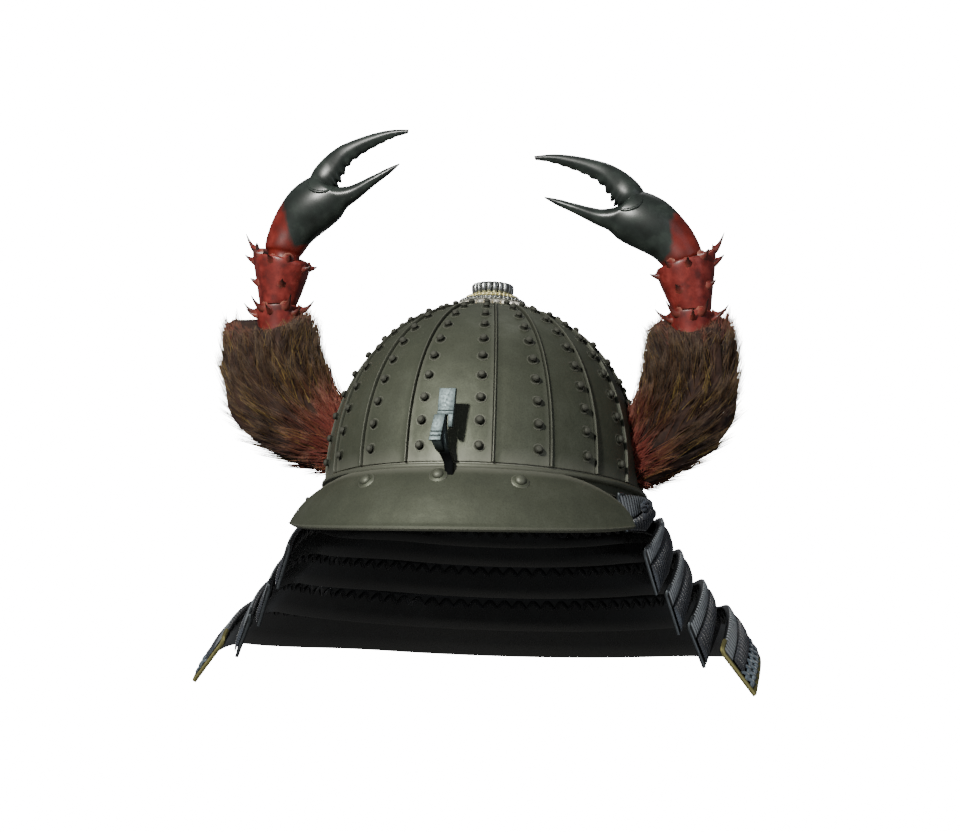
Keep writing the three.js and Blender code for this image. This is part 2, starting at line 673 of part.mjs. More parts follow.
function node(name, solid, finish) {
  const mesh = solid.getMesh();
  const geometry = new THREE.BufferGeometry();
  const stride = mesh.numProp;
  const position = new Float32Array((mesh.vertProperties.length / stride) * 3);
  for (let i = 0; i < position.length / 3; i++) {
    position.set(mesh.vertProperties.subarray(i * stride, i * stride + 3), i * 3);
  }
  geometry.setAttribute('position', new THREE.BufferAttribute(position, 3));
  geometry.setIndex(new THREE.BufferAttribute(new Uint32Array(mesh.triVerts), 1));
  geometry.computeVertexNormals();
  const body = new THREE.Mesh(geometry, new THREE.MeshStandardMaterial({ ...FINISH[finish] }));
  body.name = name;
  return body;
}

function bowlPlates() {
  const plates = [];
  const front = FRONT_PLATE_HALF;
  plates.push(node('bowl_plate_front', bowlPlate(-front, front, true, true, false, false), 'iron'));
  for (let k = 0; k < SIDE_PLATES; k++) {
    const a = front + PLATE_STEP * k;
    const b = a + PLATE_STEP;
    plates.push(node(`bowl_plate_left_${k + 1}`, bowlPlate(a, b, false, true, true, false), 'iron'));
    plates.push(node(`bowl_plate_right_${k + 1}`, bowlPlate(-b, -a, true, false, false, true), 'iron'));
  }
  const rear = front + PLATE_STEP * SIDE_PLATES;
  plates.push(node('bowl_plate_back', bowlPlate(rear, 360 - rear, false, false, true, true), 'iron'));
  return plates;
}

const helmet = new THREE.Group();
helmet.name = 'kabuto';
helmet.add(...bowlPlates());
helmet.add(node('bowl_rim_band', rimBand(), 'iron'));
helmet.add(node('peak', peak(), 'iron'));
helmet.add(node('crest_holder', crestHolder(), 'steel'));
helmet.add(node('crown_petal_base', crownPetals(), 'paleGilt'));
helmet.add(node('crown_collar', crownCollar(), 'silver'));
helmet.add(node('crown_beaded_ring', crownBeads(), 'gilt'));
helmet.add(node('crown_chrysanthemum', crownChrysanthemum(), 'silver'));
for (let i = 0; i < 5; i++) {
  helmet.add(node(`neck_lame_${i + 1}`, lame(i), 'lacquer'));
  helmet.add(node(`lacing_row_${i + 1}`, lacing(i), 'cord'));
}
for (const [side, word] of [[1, 'left'], [-1, 'right']]) {
  helmet.add(node(`lame_knot_${word}`, lameKnot(side), 'cord'));
  helmet.add(node(`crest_leg_${word}`, crestLeg(side), 'red'));
  helmet.add(node(`crest_fur_${word}`, crestFur(side), 'fur'));
  helmet.add(node(`crest_carpus_${word}`, crestCarpus(side), 'red'));
  helmet.add(node(`crest_palm_${word}`, crestPalm(side), 'green'));
  helmet.add(node(`crest_finger_${word}`, crestFinger(side), 'green'));
}

export default helmet;
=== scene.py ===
# %% [markdown]
# # Dressing a Japanese helmet with crab-claw side crests
# A kabuto is a riveted iron bowl with a laced neck guard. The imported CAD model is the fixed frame: it says
# where every part sits. This script covers the faceted solids with finished pieces and finishes, step by
# step. Each piece is built at its real place, in metres, and rides on the one body that the frame has.

# %% Load the frame
import math
import random

import bmesh
import bpy
from mathutils import Matrix, Vector
from mathutils.bvhtree import BVHTree


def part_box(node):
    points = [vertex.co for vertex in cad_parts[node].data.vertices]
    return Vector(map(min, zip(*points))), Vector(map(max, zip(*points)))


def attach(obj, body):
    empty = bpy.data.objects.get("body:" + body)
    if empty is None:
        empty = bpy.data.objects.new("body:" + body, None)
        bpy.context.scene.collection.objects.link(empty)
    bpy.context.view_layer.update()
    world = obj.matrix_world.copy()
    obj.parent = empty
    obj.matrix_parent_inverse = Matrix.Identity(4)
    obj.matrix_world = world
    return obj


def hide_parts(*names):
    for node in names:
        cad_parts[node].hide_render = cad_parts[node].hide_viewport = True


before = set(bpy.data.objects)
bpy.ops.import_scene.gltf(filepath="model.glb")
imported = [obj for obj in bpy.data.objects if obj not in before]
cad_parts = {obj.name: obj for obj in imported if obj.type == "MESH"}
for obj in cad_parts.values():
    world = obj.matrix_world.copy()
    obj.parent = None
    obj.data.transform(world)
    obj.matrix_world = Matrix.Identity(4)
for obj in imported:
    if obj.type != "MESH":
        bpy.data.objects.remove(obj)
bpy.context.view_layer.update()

MM = 0.001
BODY = "root"
random.seed(18)

# %% [markdown]
# The view comes first. The helmet is seen from a little below its brow and from just left of its wearer's
# nose, with a long lens, so its parallel seams stay nearly parallel. The camera is set from an azimuth, an
# elevation, a small roll and a distance, and the lens is the usual 36 mm wide sensor's. Turning three plain
# vectors is clearer here than Euler angles, which would hide the roll.

# %% Camera
VIEW_AZIMUTH, VIEW_ELEVATION, VIEW_ROLL = 12, -10.2, 2.2
VIEW_DISTANCE = 1.6
VIEW_ASIDE, VIEW_RISE = -0.0037, 0.0519
LENS, SENSOR_WIDTH = 85.1, 36


def towards(azimuth, elevation):
    """The unit vector from the helmet to a viewer or a lamp, by its angles in degrees from straight ahead."""
    a, e = math.radians(azimuth), math.radians(elevation)
    return Vector((math.sin(a) * math.cos(e), -math.cos(a) * math.cos(e), math.sin(e)))


back = towards(VIEW_AZIMUTH, VIEW_ELEVATION)
level = towards(VIEW_AZIMUTH + 90, 0)
upright = back.cross(level)
roll = math.radians(VIEW_ROLL)
right = level * math.cos(roll) + upright * math.sin(roll)
up = back.cross(right)
camera = bpy.data.objects.new("camera", bpy.data.cameras.new("camera"))
bpy.context.scene.collection.objects.link(camera)
camera.data.lens = LENS
camera.data.sensor_width = SENSOR_WIDTH
camera.data.clip_end = 50
camera.matrix_world = Matrix.Translation(back * VIEW_DISTANCE + right * VIEW_ASIDE + up * VIEW_RISE) @ Matrix(
    (right, up, back)).transposed().to_4x4()
bpy.context.scene.camera = camera
print("camera at", [round(x, 3) for x in camera.matrix_world.translation])

# %% [markdown]
# Nearly every part of a helmet is a strip bent round something: a plate, a lame, a cord, a claw. So one
# helper does most of the work. It makes a flat grid with Blender's own operator, moves its points to a row
# of cross-sections, welds the seam and fills the two ends. The faces then all follow the form, which keeps
# highlights clean, and a second value per point, called the mark, tells a material where it is on the
# piece.

# %% Lofting through cross-sections
def vec(x, y, z):
    return Vector((x, y, z))


def clamped(value):
    return min(1.0, max(0.0, value))


def as_mesh(bm, name="template"):
    """Turns a bmesh into mesh data, for a finished piece or for a template that is stamped many times."""
    mesh = bpy.data.meshes.new(name)
    bm.to_mesh(mesh)
    bm.free()
    return mesh


def marked():
    """An empty bmesh whose points carry the mark, ready for parts to be joined to it."""
    bm = bmesh.new()
    bm.verts.layers.float.new("mark")
    return bm


def join(target, extra, place=None):
    """Adds one bmesh, or a copy of a template mesh set in its place, to another bmesh."""
    mesh = as_mesh(extra) if isinstance(extra, bmesh.types.BMesh) else extra.copy()
    if place:
        mesh.transform(place)
    target.from_mesh(mesh)
    bpy.data.meshes.remove(mesh)
    return target


def loft(sections, closed=False, mark=None, uv=None, into=None):
    """Joins equal closed cross-sections (in mm) into one closed skin, in a new or an existing bmesh."""
    rows, sides = len(sections), len(sections[0])
    steps = rows if closed else rows - 1
    bm = bmesh.new()
    bmesh.ops.create_grid(bm, x_segments=sides, y_segments=steps, size=0.5)
    marks = bm.verts.layers.float.new("mark")
    uvs = bm.loops.layers.uv.new("UVMap")
    cell = {v: (round((v.co.y + 0.5) * steps), round((v.co.x + 0.5) * sides)) for v in bm.verts}
    if uv:
        for face in bm.faces:
            for corner in face.loops:
                corner[uvs].uv = uv(*cell[corner.vert])
    for v, (i, j) in cell.items():
        v.co = sections[i % rows][j % sides] * MM
        if mark:
            v[marks] = mark(i % rows, j % sides)
    bmesh.ops.remove_doubles(bm, verts=bm.verts, dist=1e-6)
    bmesh.ops.dissolve_degenerate(bm, edges=bm.edges, dist=1e-7)
    bmesh.ops.holes_fill(bm, edges=[e for e in bm.edges if e.is_boundary], sides=0)
    bmesh.ops.recalc_face_normals(bm, faces=bm.faces)
    return join(into, bm) if into else bm


print("loft ready")

# %% [markdown]
# Studs, beads and collars are lathe work, so a profile is spun round an axis with its full turn merged. A
# small thing that is repeated is made once as a template, and a matrix stands each copy on its foot. Cords,
# spines and rolled edges are tubes: rings round a path, which the loft joins.

# %% Lathe shapes, stamps and tubes
def turned(profile, steps, mark=None):
    """Spins a profile of (radius, height) in mm round the Z axis into a closed skin."""
    bm = marked()
    marks = bm.verts.layers.float["mark"]
    bm.loops.layers.uv.new("UVMap")
    points = [bm.verts.new(vec(r, 0, z) * MM) for r, z in profile]
    for k, v in enumerate(points):
        v[marks] = mark[k] if mark else 0
    edges = [bm.edges.new(pair) for pair in zip(points, points[1:])]
    bmesh.ops.spin(bm, geom=points + edges, cent=(0, 0, 0), axis=(0, 0, 1), angle=math.tau,
                   steps=steps, use_merge=True)
    bmesh.ops.remove_doubles(bm, verts=bm.verts, dist=1e-6)
    bmesh.ops.holes_fill(bm, edges=[e for e in bm.edges if e.is_boundary], sides=0)
    bmesh.ops.recalc_face_normals(bm, faces=bm.faces)
    return bm


def standing(foot, out, size=1.0):
    """A matrix that stands a template on a foot point (in mm) with its Z axis along out."""
    z = out.normalized()
    x = vec(0, 0, 1).cross(z)
    x = x.normalized() if x.length > 1e-6 else vec(1, 0, 0)
    y = z.cross(x)
    return Matrix.Translation(foot * MM) @ Matrix((x, y, z)).transposed().to_4x4() @ Matrix.Scale(size, 4)


def tube_sections(path, radius, sides, squash=1.0, normal=None):
    """Rings round a path of points in mm; the radius may be a number or a function of the place along it."""
    sections = []
    for k, p in enumerate(path):
        ahead = path[min(k + 1, len(path) - 1)] - path[max(k - 1, 0)]
        ahead.normalize()
        side = (normal or vec(0, 0, 1)).cross(ahead)
        side = side.normalized() if side.length > 1e-4 else vec(1, 0, 0)
        rise = ahead.cross(side)
        r = radius(k / (len(path) - 1)) if callable(radius) else radius
        sections.append([p + side * (r * math.cos(a)) + rise * (r * squash * math.sin(a))
                         for a in (math.tau * j / sides for j in range(sides))])
    return sections


print("lathe, stamp and tube ready")

# %% [markdown]
# A finished piece gets smooth faces with sharp edges where the metal or the wood has them. It rides on the
# body, is named for its finish, and stands for the CAD nodes that it covers.

# %% Finished pieces
SIDES = ((1, "left"), (-1, "right"))
made = {}


def smooth_object(name, bm, material, sharp=None):
    """An object at the origin, with sharp edges where its faces meet at more than sharp degrees."""
    mesh = as_mesh(bm, name)
    mesh.shade_smooth()
    if sharp:
        mesh.set_sharp_from_angle(angle=math.radians(sharp))
    mesh.materials.append(material)
    obj = bpy.data.objects.new(name, mesh)
    bpy.context.scene.collection.objects.link(obj)
    return obj


def piece(name, bm, material, nodes=(), sharp=35):
    """Turns a bmesh into a finished piece that rides on the body and stands for its CAD nodes."""
    obj = smooth_object(name, bm, material, sharp)
    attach(obj, BODY)
    if nodes:
        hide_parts(*nodes)
    made[name] = sum(len(f.vertices) - 2 for f in obj.data.polygons)


def triangles(start):
    """The triangles of all the pieces so far whose names begin so."""
    return sum(count for name, count in made.items() if name.startswith(start))


print("helpers ready")

# %% [markdown]
# Colours are written as the sRGB hex values that a paint chart would give, and one function turns them to
# the linear values that shaders need. One small function adds a node with its settings and links. Most
# finishes are a base with thin coats laid over it, each where some value is high: a noise, the mark, or how
# pointed the surface is. A noise is sized in millimetres, which is a metre divided by the size of its
# patches.

# %% Helpers for finishes
METRE = 1000


def colour(hexes):
    value = [int(hexes[k:k + 2], 16) / 255 for k in (1, 3, 5)]
    return tuple(c / 12.92 if c <= 0.04045 else ((c + 0.055) / 1.055) ** 2.4 for c in value) + (1.0,)


def add(tree, kind, settings=None, links=None, out=0):
    """Adds a node with its settings and links, and returns one output. A ramp's stops are a setting."""
    node = tree.nodes.new("ShaderNode" + kind)
    for key, value in (settings or {}).items():
        if key == "stops":
            elements = node.color_ramp.elements
            while len(elements) < len(value):
                elements.new(0.5)
            for element, (at, hexes) in zip(elements, value):
                element.position = at
                element.color = colour(hexes)
        elif isinstance(key, str) and hasattr(node, key):
            setattr(node, key, value)
        else:
            node.inputs[key].default_value = colour(value) if isinstance(value, str) else value
    for key, source in (links or {}).items():
        tree.links.new(source, node.inputs[key])
    return node.outputs[out] if len(node.outputs) else node


def begin(name):
    """A new material, its node tree, and the places on the piece that its noises read."""
    material = bpy.data.materials.new(name)
    material.use_nodes = True
    tree = material.node_tree
    tree.nodes.clear()
    return material, tree, add(tree, "TexCoord", out="Object")


def coat(tree, base, hexes, value, low, high, most=1.0):
    """Lays a colour over the base where a value rises from low to high, and never thicker than most."""
    share = add(tree, "MapRange", {"From Min": low, "From Max": high, "To Max": most}, {"Value": value})
    return add(tree, "Mix", {"data_type": "RGBA", 7: hexes}, {0: share, 6: base}, 2)


def finish(material, settings, links=None):
    """Ends a material with its shader. A value that is the same all over is set on its own socket."""
    shader = add(material.node_tree, "BsdfPrincipled", settings, links)
    add(material.node_tree, "OutputMaterial", links={"Surface": shader})
    return material


print("finish helpers ready")

# %% [markdown]
# ** Russet iron.** The bowl and the peak are forged iron, rusted on purpose and rubbed with lacquer, which
# leaves a fine dull grain (sabiji) with brown and olive patches. It is still metal under a thin skin, so it
# is half metallic and rough. Three noises give it 18 mm patches, 5 mm hammer unevenness and a grain that is
# drawn 0.9 mm coarse so that it shows. The inner face and the walls of the flanges are darkened with
# painted shade, and the same mark gives the studs' heads darker iron.

# %% Russet iron
def russet_iron():
    material, tree, place = begin("russet_iron_sabiji")
    patches = add(tree, "TexNoise", {"Scale": METRE / 18, "Detail": 5, "Roughness": 0.6}, {"Vector": place})
    grain = add(tree, "TexNoise", {"Scale": METRE / 0.9, "Detail": 2}, {"Vector": place})
    hammer = add(tree, "TexNoise", {"Scale": METRE / 6, "Detail": 1}, {"Vector": place})
    pointed = add(tree, "NewGeometry", out="Pointiness")
    inner_shade_and_dark_studs = add(tree, "Attribute", {"attribute_name": "mark"}, out="Fac")
    rust = [(0.3, "#4f5346"), (0.5, "#575b4d"), (0.68, "#606456")]
    base = add(tree, "ValToRGB", {"stops": rust}, {0: patches})
    base = coat(tree, base, "#35342c", grain, 0.45, 0.75, 0.35)
    base = coat(tree, base, "#85867a", pointed, 0.52, 0.6)
    # Painted shade on the inner face and the flange walls; on the studs the same mark gives darker iron
    # heads.
    base = coat(tree, base, "#0a0908", inner_shade_and_dark_studs, 0, 1)
    rough = add(tree, "MapRange", {"From Min": 0.3, "From Max": 0.7, "To Min": 0.62, "To Max": 0.5},
                {"Value": patches})
    rough = add(tree, "Math", {"operation": "MULTIPLY_ADD", 1: 0.3}, {0: inner_shade_and_dark_studs, 2: rough})
    dents = add(tree, "Bump", {"Distance": 0.5 * MM, "Strength": 0.35}, {"Height": hammer})
    pits = add(tree, "Bump", {"Distance": 0.12 * MM, "Strength": 0.5}, {"Height": grain, "Normal": dents})
    return finish(material, {"Metallic": 0.55, "IOR": 1.5},
                  {"Base Color": base, "Roughness": rough, "Normal": pits})


IRON = russet_iron()
print("russet iron:", len(IRON.node_tree.nodes), "nodes")

# %% [markdown]
# **Filed steel** for the crest holder is bluish, bare and bright. **Silvered copper**, **gilt copper** and
# **pale gilt** for the crown are soft metals, cast and chased: their hollows are tarnished dark and their
# high edges rubbed bright, so the colour follows how pointed the surface is. All keep a metal's full
# metallic value.

# %% Bare and plated metals
def metal(name, bright, dull, roughness, scratch_mm=3.0):
    material, tree, place = begin(name)
    tarnish = add(tree, "TexNoise", {"Scale": METRE / scratch_mm, "Detail": 4}, {"Vector": place})
    pointed = add(tree, "NewGeometry", out="Pointiness")
    holder_foot_shade = add(tree, "Attribute", {"attribute_name": "mark"}, out="Fac")
    rubbed = add(tree, "MapRange", {"From Min": 0.46, "From Max": 0.54}, {"Value": pointed})
    base = add(tree, "Mix", {"data_type": "RGBA", 6: dull, 7: bright}, {0: rubbed}, 2)
    base = coat(tree, base, dull, tarnish, 0.5, 0.8, 0.5)
    # Painted shade where the mark is set, which only the crest holder's foot under its prong has.
    base = coat(tree, base, "#1c1d1e", holder_foot_shade, 0, 1)
    rough = add(tree, "MapRange", {"From Min": 0.3, "From Max": 0.7, "To Min": roughness - 0.06,
                                   "To Max": roughness + 0.12}, {"Value": tarnish})
    pits = add(tree, "Bump", {"Distance": 0.05 * MM, "Strength": 0.4}, {"Height": tarnish})
    return finish(material, {"Metallic": 1.0}, {"Base Color": base, "Roughness": rough, "Normal": pits})


STEEL = metal("holder_steel_filed", "#626d6e", "#434d4e", 0.5, 1.5)
SILVER = metal("silvered_copper_chased", "#a9acaa", "#1c1c1b", 0.3)
GILT = metal("gilt_copper_chased", "#f6edb4", "#a39660", 0.5)
PALE_GILT = metal("pale_gilt_worn", "#fffbee", "#b9b09a", 0.5)
RIM_METAL = metal("silvered_rim_rubbed", "#74797c", "#25282a", 0.36)
OLD_GILT = metal("brass_rim_aged", "#9a9565", "#5a5738", 0.5)
print("metals ready")

# %% [markdown]
# ** Black lacquer** covers the lames. Urushi is a hard glossy coat over black, so the shader is dark with a
# clear coat. Along the heads of the lames the tops of the little ribs are painted silvery and half metallic,
# a painted highlight: the mark that the loft carries is 1 on those tops and 0 in the grooves.

# %% Black lacquer
def black_lacquer():
    material, tree, place = begin("black_lacquer_urushi")
    age = add(tree, "TexNoise", {"Scale": METRE / 9, "Detail": 5}, {"Vector": place})
    dust = add(tree, "TexNoise", {"Scale": METRE / 2.2, "Detail": 2}, {"Vector": place})
    top = add(tree, "Attribute", {"attribute_name": "mark"}, out="Fac")
    base = add(tree, "ValToRGB", {"stops": [(0.35, "#090a0b"), (0.7, "#131517")]}, {0: age})
    # Painted highlight: silvery colour on the rib tops.
    base = coat(tree, base, "#989ea3", top, 0.5, 0.97)
    rib_top_metallic = add(tree, "MapRange", {"From Min": 0.5, "From Max": 1.0, "To Max": 0.5}, {"Value": top})
    rough = add(tree, "MapRange", {"From Min": 0.3, "From Max": 0.7, "To Min": 0.22, "To Max": 0.36},
                {"Value": age})
    grit = add(tree, "Bump", {"Distance": 0.06 * MM, "Strength": 0.5}, {"Height": dust})
    return finish(material, {"IOR": 1.5, "Coat Weight": 0.3, "Coat Roughness": 0.16},
                  {"Base Color": base, "Metallic": rib_top_metallic, "Roughness": rough, "Normal": grit})


LACQUER = black_lacquer()
print("black lacquer ready")

# %% [markdown]
# ** Silk cord.** The lames hang on flat braided silk, dyed navy and laid side by side. Each braid shows a
# herringbone of plaited strands, about 1.6 mm to a stitch. The cords' own UV map counts cords across and
# millimetres down, so the pattern follows every cord: a slanting stripe, folded over at the middle of the
# cord, with painted shade darkening the grooves between the strands.

# %% Silk cord
STITCH = 1.6


def silk_cord(name, dark, middle, pale):
    material, tree, place = begin(name)
    cords = add(tree, "SeparateXYZ", links={0: add(tree, "UVMap", {"uv_map": "UVMap"})})
    down = cords.node.outputs[1]
    fold = add(tree, "Math", {"operation": "PINGPONG", 1: 0.5}, {0: cords})
    stitches = add(tree, "Math", {"operation": "MULTIPLY", 1: 1 / STITCH}, {0: down})
    slant = add(tree, "Math", {"operation": "MULTIPLY_ADD", 1: 2.4}, {0: fold, 2: stitches})
    turn = add(tree, "Math", {"operation": "MULTIPLY", 1: math.tau}, {0: slant})
    wave = add(tree, "Math", {"operation": "SINE"}, {0: turn})
    strand = add(tree, "MapRange", {"From Min": -1, "From Max": 1}, {"Value": wave})
    groove = add(tree, "MapRange", {"From Max": 0.5, "To Min": 0.5, "To Max": 0.0}, {"Value": strand})
    fade = add(tree, "TexNoise", {"Scale": METRE / 14, "Detail": 4}, {"Vector": place})
    base = add(tree, "ValToRGB", {"stops": [(0.35, dark), (0.55, middle), (0.75, pale)]}, {0: fade})
    # Painted shade in the grooves between the strands.
    base = add(tree, "Mix", {"data_type": "RGBA", 7: "#0b0c10"}, {0: groove, 6: base}, 2)
    braid = add(tree, "Bump", {"Distance": 0.25 * MM, "Strength": 0.7}, {"Height": strand})
    return finish(material, {"Roughness": 0.72, "Sheen Weight": 0.35, "Sheen Roughness": 0.4},
                  {"Base Color": base, "Normal": braid})


SILK = silk_cord("navy_silk_braid", "#181b24", "#252a34", "#3a424d")
PALE_SILK = silk_cord("blue_grey_silk_braid", "#3c4650", "#55616c", "#77838c")
# A darker copy of the navy silk: painted shade for the stitches inside the lames.
SHADED_SILK = silk_cord("inner_silk_braid_shaded", "#0c0d11", "#15171c", "#202329")
print("silk cords ready")

# %% [markdown]
# **Claw lacquers.** The crab's limbs are carved wood and paper under coloured lacquer. The cups are brick
# red with dark spine tips, and each claw runs from red at the wrist to green-black. Here the mark says how
# far a point is along the limb, and a little noise makes the border between the two colours wander like a
# brushed edge.

# %% Claw lacquers
def red_lacquer():
    material, tree, place = begin("red_lacquer_carved")
    age = add(tree, "TexNoise", {"Scale": METRE / 7, "Detail": 5}, {"Vector": place})
    brush = add(tree, "TexNoise", {"Scale": METRE / 1.6, "Detail": 3}, {"Vector": place})
    pointed = add(tree, "NewGeometry", out="Pointiness")
    tip = add(tree, "Attribute", {"attribute_name": "mark"}, out="Fac")
    reds = [(0.32, "#521915"), (0.5, "#742621"), (0.68, "#8d3832")]
    base = add(tree, "ValToRGB", {"stops": reds}, {0: age})
    base = coat(tree, base, "#a8705f", pointed, 0.54, 0.64, 0.7)
    # Dark spine tips, their own lacquer, and painted shade in the hollows inside the leg's and cup's rims.
    base = coat(tree, base, "#1d0d0a", tip, 0.15, 0.85)
    rough = add(tree, "MapRange", {"From Min": 0.3, "From Max": 0.7, "To Min": 0.5, "To Max": 0.34},
                {"Value": age})
    strokes = add(tree, "Bump", {"Distance": 0.12 * MM, "Strength": 0.5}, {"Height": brush})
    return finish(material, {"IOR": 1.45, "Coat Weight": 0.15, "Coat Roughness": 0.3},
                  {"Base Color": base, "Roughness": rough, "Normal": strokes})


def claw_lacquer():
    material, tree, place = begin("claw_lacquer_two_tone")
    age = add(tree, "TexNoise", {"Scale": METRE / 11, "Detail": 5}, {"Vector": place})
    brush = add(tree, "TexNoise", {"Scale": METRE / 2.4, "Detail": 3}, {"Vector": place})
    wander = add(tree, "TexNoise", {"Scale": METRE / 16, "Detail": 2}, {"Vector": place})
    wander = add(tree, "MapRange", {"To Min": -0.06, "To Max": 0.06}, {"Value": wander})
    along = add(tree, "Attribute", {"attribute_name": "mark"}, out="Fac")
    along = add(tree, "Math", {"operation": "ADD"}, {0: along, 1: wander})
    reds = [(0.3, "#541812"), (0.55, "#72231c"), (0.7, "#84322a")]
    greens = [(0.3, "#1c211e"), (0.5, "#282e2b"), (0.72, "#3a423d")]
    red, green = (add(tree, "ValToRGB", {"stops": stops}, {0: age}) for stops in (reds, greens))
    border = add(tree, "MapRange", {"From Min": 0.235, "From Max": 0.262}, {"Value": along})
    base = add(tree, "Mix", {"data_type": "RGBA"}, {0: border, 6: red, 7: green}, 2)
    base = coat(tree, base, "#15191a", along, 0.93, 1.02)
    rough = add(tree, "MapRange", {"From Min": 0.3, "From Max": 0.7, "To Min": 0.42, "To Max": 0.3},
                {"Value": age})
    strokes = add(tree, "Bump", {"Distance": 0.1 * MM, "Strength": 0.4}, {"Height": brush})
    return finish(material, {"IOR": 1.45, "Coat Weight": 0.25, "Coat Roughness": 0.26},
                  {"Base Color": base, "Roughness": rough, "Normal": strokes})


RED = red_lacquer()
CLAW = claw_lacquer()
print("claw lacquers ready")

# %% [markdown]
# **Animal hair.** The upper legs wear brown hair, reddish at its roots and bleached yellow on stray
# strands. The mark runs from 0 at a root to 1 at a tip, the shade is different for each strand, and a third
# value says how near the leg the lock is, where the red lacquer has dyed it.

# %% Hair
def hair():
    material, tree = begin("brown_hair_dyed")[:2]
    along, shade, rooted = (add(tree, "Attribute", {"attribute_name": name}, out="Fac")
                            for name in ("mark", "shade", "rooted"))
    browns = [(0.0, "#1f140c"), (0.4, "#3b2718"), (0.75, "#5a3f22"), (1.0, "#978048")]
    base = add(tree, "ValToRGB", {"stops": browns}, {0: shade})
    base = coat(tree, base, "#9c4c44", rooted, 0.1, 1.0, 0.85)
    base = coat(tree, base, "#957a5a", along, 0.7, 1.0, 0.4)
    return finish(material, {"Roughness": 0.55}, {"Base Color": base})


# Its dark brown is painted shade: the shade deep inside the hair, under the strands.
def shaded_underfur():
    material, tree, place = begin("brown_underfur")
    patches = add(tree, "TexNoise", {"Scale": METRE / 5, "Detail": 4}, {"Vector": place})
    base = add(tree, "ValToRGB", {"stops": [(0.35, "#23150f"), (0.65, "#3c271d")]}, {0: patches})
    return finish(material, {"Roughness": 0.9}, {"Base Color": base})


HAIR = hair()
UNDERFUR_SHADE = shaded_underfur()
print("hair ready")

# %% [markdown]
# ## The bowl
# The bowl is eighteen tapering plates, wide at the front and back, each overlapping the next with its edge
# turned up into a thin flange (suji). The dome is one formula: a quarter of a rounded curve stood on an
# oval rim. Half-width and half-length come from the frame's rim band, so the plates land exactly on the
# CAD's.

# %% The dome's form
rim_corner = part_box("bowl_rim_band")[1]
petal_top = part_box("crown_petal_base")[1][2]
RIM_LIP = 3.2
PETAL_RISE = 1.6
HALF_WIDTH = round(rim_corner[0] / MM - RIM_LIP, 1)
HALF_LENGTH = round(rim_corner[1] / MM - RIM_LIP, 1)
HEIGHT = round(petal_top / MM - PETAL_RISE, 1)
FULLNESS = 2.15
PLATE_THICKNESS = 3.0
FRONT_PLATE_HALF = 13.4
PLATE_STEP = 18.9
SIDE_PLATES = 8
CROWN_HOLE = 17.0
SUJI_HEIGHT = 2.1
SUJI_WIDTH = 1.4
GAP = 0.3


def rim_radius(azimuth, width=HALF_WIDTH, length=HALF_LENGTH):
    s = math.sin(math.radians(azimuth)) / width
    c = math.cos(math.radians(azimuth)) / length
    return 1 / math.hypot(s, c)


def polar(azimuth, radius, z):
    a = math.radians(azimuth)
    return vec(radius * math.sin(a), -radius * math.cos(a), z)


def dome(azimuth, climb, lift=0.0):
    """A point at climb degrees above the rim, lifted off the surface."""
    rim = rim_radius(azimuth)
    power = 2 / FULLNESS
    c = max(math.cos(math.radians(climb)), 1e-9)
    s = max(math.sin(math.radians(climb)), 0.0)
    nr, nz = c ** (2 - power) / rim, s ** (2 - power) / HEIGHT
    k = lift / math.hypot(nr, nz)
    return polar(azimuth, rim * c ** power + nr * k, HEIGHT * s ** power + nz * k)


def radius_at(azimuth, climb):
    """How far a place on the dome is from its upright axis."""
    here = dome(azimuth, climb)
    return math.hypot(here.x, here.y)


def climb_at(azimuth, radius):
    return math.degrees(math.acos((radius / rim_radius(azimuth)) ** (FULLNESS / 2)))


print("bowl is", 2 * HALF_WIDTH, "x", 2 * HALF_LENGTH, "x", HEIGHT, "mm")

# %% [markdown]
# Each plate is a closed section swept up from the rim to the crown: its outer face, the flange where it has
# one, and its inner face. The flange needs only a few points, rounded over at its top. It sinks to nothing
# near the crown, where the finial covers it. A plate without one has slightly rounded edges instead.

# %% Plate sections
FLANGE = ((0.0, 0.0), (0.05, 0.55), (0.25, 0.93), (0.5, 1.0), (0.75, 0.93), (1.0, 0.5), (1.2, 0.12),
          (1.7, 0.0))
FLANGE_FOOT = FLANGE[-1][0]
# Painted shade on a flange's wall, darkest at its foot, that dulls the highlight there.
FLANGE_SHADE = (0.55, 0.55, 0.35, 0.12)
FINIAL_RADIUS, SINK_WIDTH = 29.5, 12
EDGE_WIDTH, EDGE_DROP = 0.25, 0.3
DEGREE = math.radians(1)


def plate_section(start, end, climb, ridge_at_start, ridge_at_end, columns):
    """The outer points of one section, from start to end, and the inner ones, back from end to start."""
    radius = radius_at((start + end) / 2, climb)
    per_mm = 1 / DEGREE / radius
    a, b = start + GAP / 2 * per_mm, end - GAP / 2 * per_mm
    rise = SUJI_HEIGHT * min(1, max(0.02, (radius - FINIAL_RADIUS) / SINK_WIDTH))
    wide, edge = SUJI_WIDTH * per_mm, EDGE_WIDTH * per_mm
    outer = []
    if ridge_at_start:
        outer += [dome(a + wide * w, climb, rise * h) for w, h in FLANGE]
    else:
        outer += [dome(a + edge * k, climb, -EDGE_DROP * (1 - k)) for k in (0, 0.5, 1)]
    first = a + (FLANGE_FOOT * wide if ridge_at_start else 0)
    last = b - (FLANGE_FOOT * wide if ridge_at_end else 0)
    outer += [dome(first + (last - first) * k / (columns + 1), climb) for k in range(1, columns + 1)]
    if ridge_at_end:
        outer += [dome(b - wide * w, climb, rise * h) for w, h in reversed(FLANGE)]
    else:
        outer += [dome(b - edge * k, climb, -EDGE_DROP * (1 - k)) for k in (1, 0.5, 0)]
    inner = [dome(b + (a - b) * k / 6, climb, -PLATE_THICKNESS) for k in range(7)]
    return outer, inner


